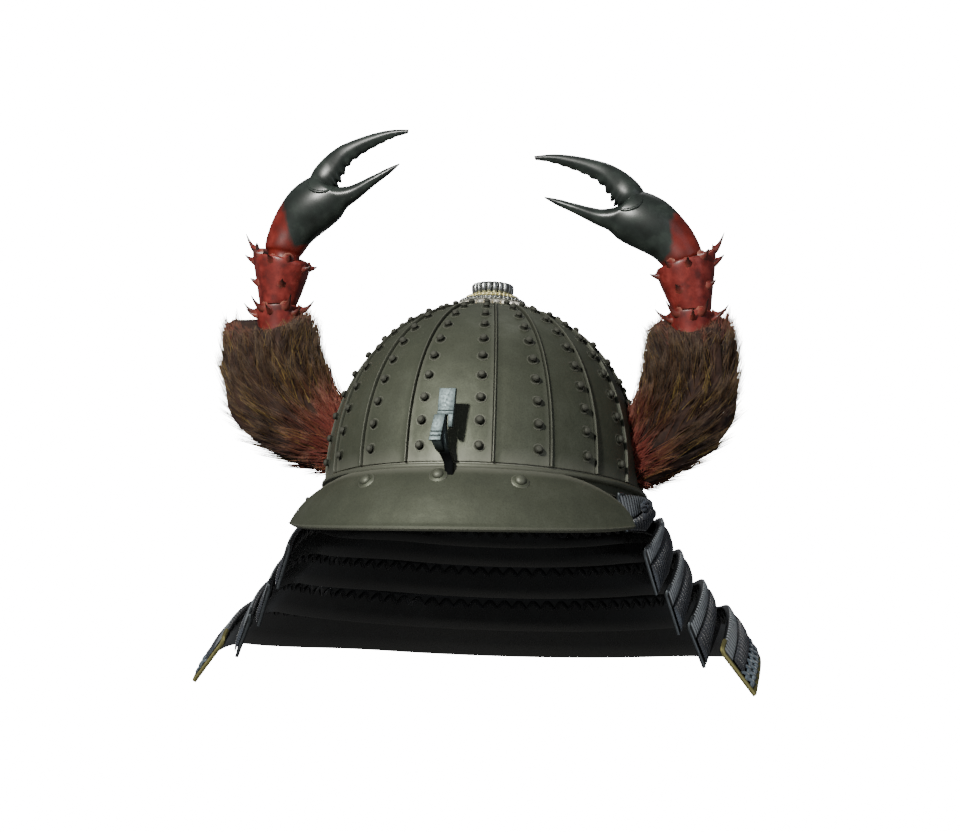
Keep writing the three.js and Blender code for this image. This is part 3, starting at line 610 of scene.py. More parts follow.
def plate(start, end, ridge_at_start, ridge_at_end):
    columns = 14 if end - start > 25 else 8
    rows = 30
    low, top = 0.15, climb_at((start + end) / 2, CROWN_HOLE)
    sections = []
    for i in range(rows + 1):
        climb = low + (top - low) * (i / rows) ** 0.9
        outer, inner = plate_section(start, end, climb, ridge_at_start, ridge_at_end, columns)
        sections.append(outer + inner)

    def inner_and_flange_shade(i, j):
        """Painted shade: 1 inside the bowl, and less than that on the wall of a flange, to dull the highlight
        there.
        """
        if j >= len(outer):
            return 1.0
        wall = j if ridge_at_start else len(outer) - 1 - j if ridge_at_end else len(FLANGE_SHADE)
        return FLANGE_SHADE[wall] if wall < len(FLANGE_SHADE) else 0.0

    return loft(sections, mark=inner_and_flange_shade)


print("a narrow plate has", len(sum(plate_section(20, 38.9, 10, True, False, 8), [])), "points to a section")

# %% [markdown]
# The rivets (hoshi) are domed studs with a waist, each on a thin raised seat (za) that turned the leather
# and iron together. A few profile points spun round an axis give one template, and it is stamped onto the
# plate along the seam. Eleven sides are plenty at this size, and the studs shrink slightly towards the
# crown as real ones do.

# %% Rivets on their seats
STUD = ((4.3, -1.0), (4.15, 0.22), (2.45, 0.24), (2.2, 1.3), (2.7, 2.4), (1.9, 3.7), (0.0, 4.3))
STUD_DARK = (0.0, 0.2, 0.6, 0.75, 0.75, 0.65, 0.5)
STUD_SIDES = 11
FIRST_STUD, STUD_PITCH, STUD_ASIDE = 10.5, 16.6, 8.2
BARE_CROWN = 35
stud = as_mesh(turned(STUD, STUD_SIDES, STUD_DARK))


def stud_row(bm, seam, side):
    """Stamps studs up the plate beside a seam, at one pitch along the curve, and returns how many."""
    travelled, following, count = 0.0, FIRST_STUD, 0
    last = dome(seam, 0)
    for half_degrees in range(1, 180):
        climb = half_degrees / 2
        here, radius = dome(seam, climb), radius_at(seam, climb)
        if radius < BARE_CROWN:
            break
        travelled += (here - last).length
        last = here
        if travelled >= following:
            size = 0.72 + 0.28 * min(1, radius / 95)
            azimuth = seam + side * STUD_ASIDE * (radius / 110) ** 0.6 / radius / DEGREE
            foot = dome(azimuth, climb)
            join(bm, stud, standing(foot, dome(azimuth, climb, 1) - foot, size))
            following += STUD_PITCH * (0.86 + 0.14 * min(1, radius / 100))
            count += 1
    return count


print("a stud has", len(stud.polygons), "faces")

# %% [markdown]
# The plates are made in pairs from the front one to the back one. Each has one row of studs, beside its far
# seam, except the front plate, which has two, and the back one, which has none of its own.

# %% Eighteen plates
def bowl_piece(name, start, end, rows=(), ridges=(False, False)):
    bm = plate(start, end, *ridges)
    count = sum(stud_row(bm, seam, side) for seam, side in rows)
    piece(name + "_forged", bm, IRON, [name])
    return count


front = FRONT_PLATE_HALF
studs = bowl_piece("bowl_plate_front", -front, front, ((-front, 1), (front, -1)))
for k in range(SIDE_PLATES):
    a, b = front + PLATE_STEP * k, front + PLATE_STEP * (k + 1)
    studs += bowl_piece(f"bowl_plate_left_{k + 1}", a, b, ((b, -1),), (True, False))
    studs += bowl_piece(f"bowl_plate_right_{k + 1}", -b, -a, ((-b, 1),), (False, True))
rear = front + PLATE_STEP * SIDE_PLATES
bowl_piece("bowl_plate_back", rear, 360 - rear, (), (True, True))
print("eighteen plates,", studs, "studs,", sum(made.values()), "triangles")

# %% [markdown]
# On the real bowl each plate runs on under its neighbour, so no light comes through a seam. A thin strip
# behind each seam and a ring behind the rim do that here, and none of them shows.

# %% Laps behind the seams
LAP_HALF_WIDTH, LAP_TOP = 1.5, 19
LAP = ((-1, -1.2), (1, -1.2), (1, -2.2), (-1, -2.2))
RIM_LAP = ((-2.4, 3), (-1.2, 3), (-1.2, -3), (-2.4, -3))


def seam_lap(seam, rows=24):
    """Sections of the strip behind one seam, from the rim up to the finial."""
    sections = []
    for k in range(rows + 1):
        climb = climb_at(seam, LAP_TOP) * k / rows
        across = LAP_HALF_WIDTH / radius_at(seam, climb) / DEGREE
        sections.append([dome(seam + side * across, climb, lift) for side, lift in LAP])
    return sections


def round_rim(section, height=0.0):
    """A section of (out from the rim, up) in mm, carried once round the oval."""
    return [[polar(t, rim_radius(t) + r, height + z) for r, z in section] for t in range(0, 360, 3)]


laps = bmesh.new()
for k in range(SIDE_PLATES + 1):
    for side in (1, -1):
        loft(seam_lap(side * (front + PLATE_STEP * k)), into=laps)
loft(round_rim(RIM_LAP), closed=True, into=laps)
piece("bowl_plate_laps", laps, IRON)
print("laps:", made["bowl_plate_laps"], "triangles")

# %% [markdown]
# The rim band (koshimaki) runs right round under the plates: a rolled lip above a plain band. It is one
# section carried round the oval and joined to itself. The peak (mabizashi) is the same idea on a leaning
# surface. Its wings narrow to rounded ends, its lower edge is rolled, and three flat domed rivets hold it.

# %% Rim band and peak
RIM_TOP = -1.5
BAND = ((-3.6, 0.3), (2.0, 0.3), (3.2, 0.1), (4.0, -0.7), (4.2, -1.7), (3.8, -2.7), (2.8, -3.3), (0.4, -3.4),
        (-0.3, -3.9), (-0.3, -8.6), (-0.6, -9.0), (-3.6, -9.0))
band = loft(round_rim(BAND, RIM_TOP), closed=True)
piece("bowl_rim_band_rolled", band, IRON, ["bowl_rim_band"])

PEAK_REACH, PEAK_DROP, PEAK_HALF = 27.0, 45.0, 56.0
PEAK_SECTION = ((0.0, 1.1), (0.12, 1.1), (0.25, 1.1), (0.4, 1.1), (0.55, 1.1), (0.7, 1.1), (0.82, 1.1),
                (0.9, 1.15), (0.94, 1.45), (0.965, 2.0), (0.985, 2.1), (1.0, 1.5), (1.004, 0.4),
                (1.0, -0.8), (0.985, -1.1), (0.75, -1.1), (0.5, -1.1), (0.25, -1.1), (0.0, -1.1))


def peak_point(azimuth, t, lift=0.0):
    """A point at t (0 to 1) of the way from the peak's root to its edge, lifted off its middle surface."""
    aside = abs(azimuth) / PEAK_HALF
    bow = math.sin(math.pi * min(t, 1)) * 2.6
    out = rim_radius(azimuth) + 2.4 + PEAK_REACH * t + bow + (1 - aside) * t
    z = RIM_TOP - 3 - PEAK_DROP * t + bow * 0.6 + 11 * t * aside * aside
    n = math.hypot(PEAK_DROP, PEAK_REACH)
    return polar(azimuth, out + lift * PEAK_DROP / n, z + lift * PEAK_REACH / n)


def peak_sections(stations=84):
    sections = []
    for i in range(stations + 1):
        k = 2 * i / stations - 1
        azimuth = math.copysign(PEAK_HALF * (1 - (1 - abs(k)) ** 1.35), k)
        past = max(0.0, abs(azimuth) - 33) / (PEAK_HALF - 33)
        root = 0.9 * (1 - math.sqrt(1 - 0.985 * past * past))
        edge = 1 - 0.05 * past ** 4
        sections.append([peak_point(azimuth, root + (edge - root) * q, n) for q, n in PEAK_SECTION])
    return sections


PEAK_STUDS = ((-24.5, 0.24), (-1.7, 0.17), (21.5, 0.24))
PEAK_STUD = ((6.2, -1.0), (6.1, 0.4), (5.6, 0.9), (4.6, 1.2), (3.9, 1.5), (3.7, 2.2), (3.0, 3.2),
             (1.7, 3.9), (0, 4.1))
peak = loft(peak_sections())
flat_stud = as_mesh(turned(PEAK_STUD, 24))
for azimuth, along in PEAK_STUDS:
    foot = peak_point(azimuth, along, 1.1)
    join(peak, flat_stud, standing(foot, peak_point(azimuth, along, 2.1) - foot))
piece("peak_rolled", peak, IRON, ["peak"])
print("rim band and peak made")

# %% [markdown]
# The crest holder (tsunomoto) is a forked steel upright. A foot, darkened with painted shade under the
# prong, rises from the peak's root and carries the left leg. A wide tab joins it to a shorter right leg
# with a slot between them, and a bright prong stands in front. Lofted bars make it, and a bevel on the
# long edges catches the light as filed edges do.

# %% Crest holder
def bar(rows, into=None):
    """A rectangular bar through rows of (z, left, right, front, rear) in mm."""
    sections = [[vec(x, y, z) for x, y in ((x0, y0), (x1, y0), (x1, y1), (x0, y1))]
                for z, x0, x1, y0, y1 in rows]
    return loft(sections, into=into)


HOLDER_FRONT = -139.8
holder = bar(((-11, 0.7, 6.0, -131.8, -127.4), (-2, -0.7, 5.6, -132.3, -127.5),
              (3, -3.0, 4.2, -134.6, -128.4), (8, -5.0, 2.4, -138, -130.5), (14, -5.3, 1.2, -139.2, -132),
              (28.4, -4.7, 1.2, -139.4, -134)))
bar(((20, 2.7, 5.6, -139.3, -134), (28.4, 2.7, 6.1, -139.5, -134)), holder)
bar(((28, -4.7, 6.1, -139.5, -134), (30.4, -4.6, 6.2, -139.5, -134), (31.2, -4.6, 6.2, -138.8, -134),
     (38.5, -4.5, 6.5, -138.5, -134), (46, -4.1, 6.9, -138, -134)), holder)
bar(((4.5, -4.8, 0.6, -136.5, -130), (9, -6.6, -0.6, -141.8, -137), (11, -7.4, -0.8, -143.2, -139)), holder)
PRONG_FOOT, PRONG_RISE = 10.5, 17.5
for low, high in ((PRONG_FOOT, 13.6), (13.9, 16.4), (16.7, PRONG_FOOT + PRONG_RISE)):
    leaning = [((z - PRONG_FOOT) / PRONG_RISE, z) for z in (low, high)]
    bar([(z, -8.8 + 2.6 * k, -0.8 + 2.0 * k, -144.3 + 3.0 * k, -140 + 2.5 * k) for k, z in leaning], holder)
dark = holder.verts.layers.float["mark"]
# Painted shade: the mark darkens the holder towards the bottom, behind the prong's front, under the prong.
for v in holder.verts:
    v[dark] = clamped((11.0 - v.co.z / MM) / 5.0) if v.co.y / MM > HOLDER_FRONT else 0.0
long_edges = [e for e in holder.edges if e.is_manifold and e.calc_face_angle(0) > 0.6]
bmesh.ops.bevel(holder, geom=long_edges, offset=0.35 * MM, segments=2, profile=0.5, affect="EDGES",
                material=-1)
piece("crest_holder_filed", holder, STEEL, ["crest_holder"])
print("crest holder:", made["crest_holder_filed"], "triangles")

# %% [markdown]
# ## The crown finial
# Four thin ornaments are stacked over the hole at the crown: a base of hanging petals, a beaded collar, a
# gilt beaded ring and a fluted chrysanthemum. Petals and flutes are a lathe shape whose radius rises and
# falls as it goes round, so a loft round the axis makes them, and the beads are one small sphere stamped
# round a ring.

# %% Finial
def fluted(profile, count, depth, sharpness, steps=8):
    """A closed lathe shape round the Z axis with count lobes, whose hollows are cut in by depth."""
    sections = []
    for i in range(count * steps):
        angle = math.tau * i / (count * steps)
        lobe = abs(math.cos(angle * count / 2)) ** sharpness
        c, s = math.cos(angle), math.sin(angle)
        radii = [r - d * (1 - lobe) for (r, z), d in zip(profile, depth)]
        sections.append([vec(r * c, r * s, z) for r, (rim, z) in zip(radii, profile)])
    return loft(sections, closed=True)


def bead_ring(bm, radius, z, count, bead):
    template = bmesh.new()
    bmesh.ops.create_icosphere(template, subdivisions=2, radius=bead * MM)
    ball = as_mesh(template)
    for i in range(count):
        join(bm, ball, Matrix.Translation(polar(360 * i / count, radius, z) * MM))


PETAL = ((9, 129.6), (20, 129.8), (27, 129.0), (29.2, 128.0), (29.9, 128.9), (29.3, 130.3), (26.2, 132.0),
         (22.8, 132.6), (9, 132.7))
PETAL_CUT = (0, 0.3, 3.2, 4.4, 4.6, 3.8, 1.8, 0, 0)
BLOOM = ((9, 139.4), (13.6, 139.4), (14.6, 140.6), (15.1, 143.4), (15.2, 146.2), (14.6, 147.6),
         (13.0, 147.9), (11.4, 146.9), (9, 146.6))
BLOOM_CUT = (0, 1.4, 1.8, 2.0, 2.0, 1.8, 1.2, 0.5, 0)
petals = fluted(PETAL, 30, PETAL_CUT, 0.35)
piece("crown_petal_base_chased", petals, PALE_GILT, ["crown_petal_base"])
collar = turned([(9, 132.9), (22.2, 132.9), (22.9, 133.4), (22.4, 135.2), (20.8, 136.0), (9, 136)], 64)
bead_ring(collar, 22.6, 134.4, 44, 1.45)
piece("crown_collar_beaded", collar, SILVER, ["crown_collar"])
ring = turned([(9, 136.3), (17.4, 136.3), (18.6, 137.0), (18.0, 138.4), (16.6, 139.1), (9, 139.1)], 64)
bead_ring(ring, 18.2, 137.6, 38, 1.35)
piece("crown_ring_beaded", ring, GILT, ["crown_beaded_ring"])
bloom = fluted(BLOOM, 20, BLOOM_CUT, 0.45)
piece("crown_chrysanthemum_fluted", bloom, SILVER, ["crown_chrysanthemum"])

# %% [markdown]
# ## The neck guard
# Five lames hang on cords round the sides and back (shikoro). Each lame is a band that leans out, and three
# stations fix it: its side, its back and its front end. Between them the head line eases from one to the
# next. The values are the CAD's, so the finished lames lie on its solids.

# %% Lames as surfaces
LAMES = [
    {"end": 60.5, "side": (116, -5, 13, 26), "back": (129.7, -1, 12, 24),
     "front": (118.5, -11, 9, 25)},
    {"end": 62.8, "side": (122, -15, 22, 30), "back": (135.4, -10, 16, 29),
     "front": (137.5, -49, 12, 30)},
    {"end": 67.4, "side": (135.5, -36.5, 25, 30), "back": (145, -33, 17, 29),
     "front": (148.2, -76, 13, 28.5)},
    {"end": 71.5, "side": (152.5, -57, 28, 31), "back": (155.6, -57, 18, 29),
     "front": (159.5, -96.5, 18, 29.5)},
    {"end": 76.8, "side": (170.5, -74.5, 34, 40), "back": (166.6, -70, 28, 37),
     "front": (177.2, -112, 36, 36)},
]
LAME_THICKNESS = 2.2
HEAD_HEIGHT = 6.0
HEAD_PROUD = (1.4, 2.3, 2.3, 2.3, 2.3)
FRONT_EASE = 105
BACK_EASE, BACK_EASE_WIDTH = 100, 45
END_RAKE, RAKE_WIDTH = 3.2, 20
RIB = 3.8
CORD = 4.7


def lame_head(lame, azimuth):
    """Radius, height, lean in degrees and slant height of a lame at an azimuth."""
    a = abs(azimuth)
    w = 0.0 if a >= FRONT_EASE else ((FRONT_EASE - a) / (FRONT_EASE - lame["end"])) ** 1.7
    k = 0.5 - 0.5 * math.cos(clamped((a - BACK_EASE) / BACK_EASE_WIDTH) * math.pi)
    side, rear, head = lame["side"], lame["back"], lame["front"]
    r = rim_radius(a, side[0], rear[0]) + (head[0] - rim_radius(lame["end"], side[0], rear[0])) * w
    rest = [side[n] + (head[n] - side[n]) * w + (rear[n] - side[n]) * k for n in (1, 2, 3)]
    return (r, *rest)


def lame_frame(lame, azimuth):
    """Returns a function that gives the point s mm down the lame and n mm off its outer face."""
    r, z, lean, slant = lame_head(lame, azimuth)
    sin, cos = math.sin(math.radians(lean)), math.cos(math.radians(lean))
    near = max(0.0, 1 - (abs(azimuth) - lame["end"]) / RAKE_WIDTH)
    rake = math.copysign(END_RAKE * near * near / slant, azimuth)
    return lambda s, n: polar(azimuth + rake * s, r + s * sin + n * cos, z - s * cos + n * sin)


def stations(lame, pitch, per, inset=0.0):
    """Azimuths from the left front end round the back to the right one, per of them to each pitch of mm."""
    fine = [lame["end"] + inset + (180 - lame["end"] - inset) * k / 400 for k in range(401)]
    ways = [0.0]
    last = lame_frame(lame, fine[0])(3, 0)
    for azimuth in fine[1:]:
        here = lame_frame(lame, azimuth)(3, 0)
        ways.append(ways[-1] + (here - last).length)
        last = here
    count = round(ways[-1] / pitch)
    result = []
    k = 0
    for i in range(count * per + 1):
        want = ways[-1] * i / (count * per)
        while k < 399 and ways[k + 1] < want:
            k += 1
        t = (want - ways[k]) / (ways[k + 1] - ways[k])
        result.append((fine[k] + (fine[k + 1] - fine[k]) * t, i / per))
    rest = [(-azimuth, 2 * count - turn) for azimuth, turn in reversed(result[:-1])]
    return result + rest


def head_end(index, azimuth):
    """How far down a lame its ribbed head runs: it grows towards the front, most of all on the top lame."""
    near = clamped((LAMES[index]["end"] + 26 - abs(azimuth)) / 22)
    return HEAD_HEIGHT + (11 if index == 0 else 5) * near * near * (3 - 2 * near)


def lace_foot(index, azimuth):
    """How far down a lame its lacing runs: to the head of the next one, or over half of the last one."""
    here = lame_head(LAMES[index], azimuth)
    if index == len(LAMES) - 1:
        return here[3] * 0.6
    following = lame_head(LAMES[index + 1], azimuth)
    reach_down = (here[1] - following[1] - 1) / math.cos(math.radians(here[2]))
    return max(HEAD_HEIGHT + 2.5, min(reach_down, here[3] - 0.6))


print("lame 5 carries", len(stations(LAMES[4], RIB, 1)), "ribs")

# %% [markdown]
# The head of each lame is cut into narrow scales (kiritsuke), each with a rounded top, so the section is
# repeated four times to a rib and its face sinks between them. The mark is the height of the rib, for the
# painted silvery highlight on the rib tops.

# %% Ribbed lames
LAME_OUTLINE = ((0.0, -0.6), (0.15, 0.55), (0.7, 0.95), (1.5, 1.0), (3.0, 1.0), (4.6, 1.0), (5.4, 0.8),
                (5.9, 0.2))
RIB_TOPS, FOOT_EDGE = range(1, 7), range(11, 13)


def rib_height(turn):
    return abs(math.sin(turn * math.pi)) ** 0.55


def lame_piece(index):
    """Sweeps a lame round the neck: its ribbed head, its face, its rounded foot, and its back up again."""
    lame, proud, inside = LAMES[index], HEAD_PROUD[index], -LAME_THICKNESS
    sections, heights = [], []
    for azimuth, turn in stations(lame, RIB, 4):
        at = lame_frame(lame, azimuth)
        slant = lame_head(lame, azimuth)[3]
        rib = 0.25 + 0.75 * rib_height(turn)
        end = head_end(index, azimuth)
        head = [at(s * end / HEAD_HEIGHT, proud * (k * rib if k > 0 else -0.2 * k)) for s, k in LAME_OUTLINE]
        face = [at(end + 0.5, 0), at(max(end + 0.8, slant * 0.6), 0), at(slant - 0.5, 0)]
        foot = [at(slant, -0.4), at(slant, inside + 0.4), at(slant - 0.5, inside)]
        rear = [at(slant * k, inside) for k in (0.7, 0.45, 0.25)] + [at(0.4, inside), at(0, inside + 0.4)]
        sections.append(head + face + foot + rear)
        heights.append(rib_height(turn))
    # The mark places the painted highlight: rib height on the rib tops, and a little on the foot's edge.
    bm = loft(sections, mark=lambda i, j: heights[i] if j in RIB_TOPS else 0.55 if j in FOOT_EDGE else 0.0)
    piece(f"neck_lame_{index + 1}_ribbed", bm, LACQUER, [f"neck_lame_{index + 1}"], 50)


for index in range(len(LAMES)):
    lame_piece(index)
print("lames:", triangles("neck"), "triangles")

# %% [markdown]
# Close-set lacing (kebiki) covers the plate between one head and the next with flat cords side by side. A
# whole row is swept like a lame, with a section that swells and sinks once to each cord. That keeps
# thousands of small objects out of the scene, and the UV map still counts the cords for the braid's
# pattern.

# %% Lacing rows
LACE_PROFILE = ((0.0, 0.3), (0.06, 0.62), (0.18, 0.86), (0.34, 1.0), (0.52, 1.0), (0.7, 0.93), (0.85, 0.8),
                (0.95, 0.62), (1.0, 0.4))
LACE_THICKNESS = 3.1
LACE_OFF = 3 * GAP


def lacing_piece(index):
    lame = LAMES[index]
    sections, downs, turns = [], [], []
    for azimuth, turn in stations(lame, CORD, 6, 0.8):
        at = lame_frame(lame, azimuth)
        top = head_end(index, azimuth) + GAP
        foot = max(top + 2.5, lace_foot(index, azimuth))
        full = max(1.7, min(LACE_THICKNESS, (foot - top) * 0.5))
        swell = 0.72 + 0.28 * abs(math.sin(turn * math.pi)) ** 0.5
        face = [(top + (foot - top) * k, max(LACE_OFF + 0.1, full * h * swell)) for k, h in LACE_PROFILE]
        under = [(foot, LACE_OFF), ((top + foot) / 2, LACE_OFF), (top, LACE_OFF)]
        sections.append([at(s, n) for s, n in face + under])
        downs.append([s for s, n in face + under] + [face[0][0]])
        turns.append(turn)
    bm = loft(sections, uv=lambda i, j: (turns[i], downs[i][j]))
    piece(f"lacing_row_{index + 1}_silk", bm, SILK, [f"lacing_row_{index + 1}"], 60)


for index in range(len(LAMES)):
    lacing_piece(index)
print("lacing:", triangles("lacing"), "triangles")

# %% [markdown]
# Metal edging (fukurin) is folded over each lame's front end, silvered on the upper four. On the last lame
# a brass one runs on along the whole bottom edge. A thin tube along the edge, with its corner turned over
# the head, is enough at this size.

# %% Edging
FOOT_FOLD = ((-3.6, -0.4), (-3.4, 0.9), (-1.9, 1.4), (-0.5, 1.2), (-0.1, 0.4), (-0.1, -0.4))


def edging(index, side):
    """The path of the edging on one front end, from a little way along the head down to the foot."""
    lame, proud = LAMES[index], HEAD_PROUD[index]
    end = lame["end"]
    slant = lame_head(lame, end)[3]
    path = [lame_frame(lame, side * (end + 0.9 * k))(-0.1, proud * 0.35) for k in (3, 2, 1.2, 0.6)]
    corner = lame_frame(lame, side * end)
    path += [lame_frame(lame, side * (end + 0.15))(0.1, proud * 0.3), corner(0.9, 0.2)]
    return path + [corner(s * slant / 10, -0.6) for s in range(1, 11)]


def edge_both_ends(bm, index, thickness):
    for side in (1, -1):
        loft(tube_sections(edging(index, side), thickness, 8, normal=vec(0, 1, 0.2)), into=bm)


def foot_edging():
    """Sections of the fold along the whole foot of the last lame."""
    sections = []
    for azimuth, turn in stations(LAMES[-1], 6, 1):
        at, slant = lame_frame(LAMES[-1], azimuth), lame_head(LAMES[-1], azimuth)[3]
        sections.append([at(slant + s, n) for s, n in FOOT_FOLD])
    return sections


edges = marked()
for index in range(4):
    edge_both_ends(edges, index, 1.0)
piece("lame_end_edging_silvered", edges, RIM_METAL)
brass = loft(foot_edging(), into=marked())
edge_both_ends(brass, 4, 1.6)
piece("lame_5_edging_brass", brass, OLD_GILT)
print("edging:", triangles("lame_"), "triangles")

# %% [markdown]
# A knot or a stitch is one or two short cords that dive into the plate at both ends. One template each is
# enough, and each is stood on the lame's face at its pitch. They are laid slanting on the template's own
# flat side.

# %% Crossed knots
def short_cord(bm, slant, reach, shoulder, top, bow, thickness, thin, squash):
    """Adds a cord of half-length reach on the XY plane, Z out, thin beyond its shoulders."""
    path = [vec(math.cos(slant) * x, math.sin(slant) * x, top - bow * x * x)
            for x in (-reach, -shoulder, 0, shoulder, reach)]
    loft(tube_sections(path, lambda k: thickness if 0.05 < k < 0.95 else thin, 6, squash), into=bm)
    return bm


crossed = short_cord(marked(), 0.62, 4.9, 3.2, 0.9, 0.06, 1.9, 1.2, 0.6)
cross_stitch = as_mesh(short_cord(crossed, -0.62, 4.9, 3.2, 1.4, 0.06, 1.9, 1.2, 0.6))
KNOT_PITCH = 9.4
KNOT_ROWS = (0.28, 0.74)
FOOT_MARGIN = 2.8

crosses = marked()
for azimuth, turn in stations(LAMES[4], KNOT_PITCH, 1, 1.6):
    at, slant = lame_frame(LAMES[4], azimuth), lame_head(LAMES[4], azimuth)[3]
    foot = lace_foot(4, azimuth)
    for row in KNOT_ROWS:
        s = foot + (slant - FOOT_MARGIN - foot) * row
        join(crosses, cross_stitch, standing(at(s, 0.0), at(s, 1.0) - at(s, 0.0)))
piece("lame_5_crossed_knots", crosses, PALE_SILK)
print("crossed knots:", made["lame_5_crossed_knots"], "triangles")

# %% [markdown]
# Inside, each cord passes through a pair of holes and back, which leaves a zigzag of short stitches along
# every lame above a plain glossy band. They show from below, in a darker copy of the silk that is painted
# shade for the inside. The same tube helper makes one slanting stitch.

# %% Stitches on the inner faces
INNER_PITCH = 5.6
STITCH_DOWN = (13.0, 9.0, 9.0, 9.0, 9.0)
inner = marked()
slants = [as_mesh(short_cord(marked(), slant, 4.4, 3, 0.7, 0.03, 1.5, 0.9, 0.5)) for slant in (0.9, -0.9)]
for lame, s in zip(LAMES, STITCH_DOWN):
    for azimuth, turn in stations(lame, INNER_PITCH, 1, 2.0):
        at = lame_frame(lame, azimuth)
        wall = at(s, -LAME_THICKNESS)
        join(inner, slants[round(turn) % 2], standing(wall, at(s, -LAME_THICKNESS - 1) - wall))
piece("inner_lacing_stitches", inner, SHADED_SILK)
print("inner stitches:", made["inner_lacing_stitches"], "triangles")

# %% [markdown]
# A cord rosette sits on the head of the top lame at each front end, with the lump of its knot beneath. The
# rosette is a ring of small loops round a middle bead.

# %% Rosettes
ROSETTE_AZIMUTH, ROSETTE_DOWN, ROSETTE_OUT = 73, 9, 4.6
PETAL_LOOPS, LOOP_RING = 8, 3.2
LOOP_SIZE = (1.9, 1.25, 1.6)
LUMPS = (((0, 0, 1.9), (1.9, 1.9, 1.9)), ((0.4, -6.2, 0.9), (2.6, 3.4, 2.0)), ((0, 0, -0.4), (3.6, 3.6, 1.6)))
ball = bmesh.new()
bmesh.ops.create_uvsphere(ball, u_segments=10, v_segments=6, radius=1.0 * MM)
ball = as_mesh(ball)


def rosette(side):
    knot = marked()
    centre = lame_frame(LAMES[0], side * ROSETTE_AZIMUTH)(ROSETTE_DOWN, ROSETTE_OUT)
    stand = standing(centre, Vector((centre.x, centre.y, 0)).normalized())
    for k in range(PETAL_LOOPS):
        a = math.tau * k / PETAL_LOOPS
        place = Matrix.Translation(vec(LOOP_RING * math.cos(a), LOOP_RING * math.sin(a), 1.4) * MM)
        join(knot, ball, stand @ place @ Matrix.Rotation(a, 4, "Z") @ Matrix.Diagonal((*LOOP_SIZE, 1)))
    for place, size in LUMPS:
        join(knot, ball, stand @ Matrix.Translation(vec(*place) * MM) @ Matrix.Diagonal((*size, 1)))
    return knot


for side, word in SIDES:
    piece(f"lame_knot_{word}_rosette", rosette(side), SILK, [f"lame_knot_{word}"], 60)
print("rosettes made")

# %% [markdown]
# ## The crab-claw crests
# Each side crest (wakidate) is a crab's leg: an upper leg wrapped in hair, a spiny cup, and a claw. Every
# limb is a row of oval stations with two edge points, a half-depth and how far forward it lies. A smooth
# curve through the stations gives as many sections as the form needs. The two crests are mirrored, and a
# small turn sets the wearer's right one higher, as in the CAD.

# %% Limbs as curves
LEG = ((107, 34, 107, 10, 11, 2), (118, 40, 126, 20, 12, 3), (130, 58, 151, 44, 12, 7),
       (135, 84, 161, 82, 13, 12), (135, 108, 164, 108, 13.5, 15), (133, 124, 166, 124, 15, 17))
HAIR_FORM = ((100, 44, 107, 2, 19, 1), (108, 56, 131, 8, 24, 3), (112, 68, 160, 24, 28, 7),
             (116, 81, 180, 46, 30, 10), (118, 95, 184, 71, 30, 13), (117, 108, 184, 98, 28, 15),
             (117, 117, 182, 112, 26, 16), (120, 122, 179, 121, 21, 16))
CARPUS = ((137, 126.3, 163, 126.3, 12.5, 17), (131.5, 139, 164.5, 141, 15, 18),
          (126.5, 153, 167, 163, 17, 20), (127.5, 157.5, 166.5, 170, 16.5, 20.5))
PALM = ((134, 157.5, 156.5, 163.5, 9.5, 20.5), (131, 161.5, 158.5, 169.5, 11, 21),
        (123, 170, 153.5, 184, 12, 22), (109, 178, 145, 197, 13, 25), (101, 183, 134, 208.5, 13, 27),
        (97, 187, 118.5, 215, 11, 29), (93.5, 190, 106, 206.5, 8.5, 31), (86, 193.8, 92, 204, 6, 33),
        (72.5, 202, 76.3, 208, 4, 36), (60.5, 208.7, 62.5, 212.8, 2, 38),
        (52.4, 214.2, 52.6, 215.2, 0.6, 40))
FINGER = ((108.5, 203.5, 122.5, 213, 8, 28), (103.5, 205.5, 118, 220.5, 8.4, 29.5),
          (99.5, 211.5, 110, 228.2, 7.8, 31), (92.5, 221.5, 98.5, 234.8, 6.8, 34),
          (81.5, 228.6, 85, 239, 5.8, 36), (69.5, 233.5, 71.5, 241.8, 4.6, 38),
          (58, 237.2, 58.6, 242.9, 3.2, 40), (46.4, 238.9, 45.6, 241.9, 1.5, 42))
COLLAR = ((120.5, 210), (120.5, 205.5), (117, 201.5), (111, 199.8), (105, 200.6), (100.5, 203.6))
LEG_ROOT, WRIST, KNUCKLE = (110, 22), (145, 164), (118, 214)
CREST_LIFT, CLAW_LIFT = 5.0, 2.4
FUR_TURN, CREST_TURN, CLAW_TURN, FINGER_TURN = 1.7, 2.4, 2.2, 2.4


def swing(p, pivot, degrees):
    """Turns a point about a pivot's front-to-back axis."""
    c, s = math.cos(math.radians(degrees)), math.sin(math.radians(degrees))
    x, z = p.x - pivot[0], p.z - pivot[1]
    return vec(pivot[0] + x * c - z * s, p.y, pivot[1] + x * s + z * c)


def set_crest(p, side, joint="arm", lean=0.0):
    """Places a point of the left crest on its own side, turned about its knuckle, wrist and root."""
    if joint == "finger":
        p = swing(p, KNUCKLE, -side * FINGER_TURN)
    if joint != "arm":
        p = swing(p, WRIST, side * CLAW_TURN) - vec(0, 0, side * CLAW_LIFT)
    p = swing(p, LEG_ROOT, side * (CREST_TURN + lean))
    return vec(side * p.x, p.y, p.z - side * CREST_LIFT)


def row_at(rows, t):
    """A station at t (0 to 1) on the smooth curve through the rows."""
    x = min(max(t, 0.0), 1.0) * (len(rows) - 1)
    k = min(int(x), len(rows) - 2)
    f = x - k
    r = [rows[max(0, min(len(rows) - 1, k + d))] for d in (-1, 0, 1, 2)]
    return [0.5 * (2 * b + (c - a) * f + (2 * a - 5 * b + 4 * c - d) * f * f
                   + (3 * b - a - 3 * c + d) * f ** 3) for a, b, c, d in zip(*r)]


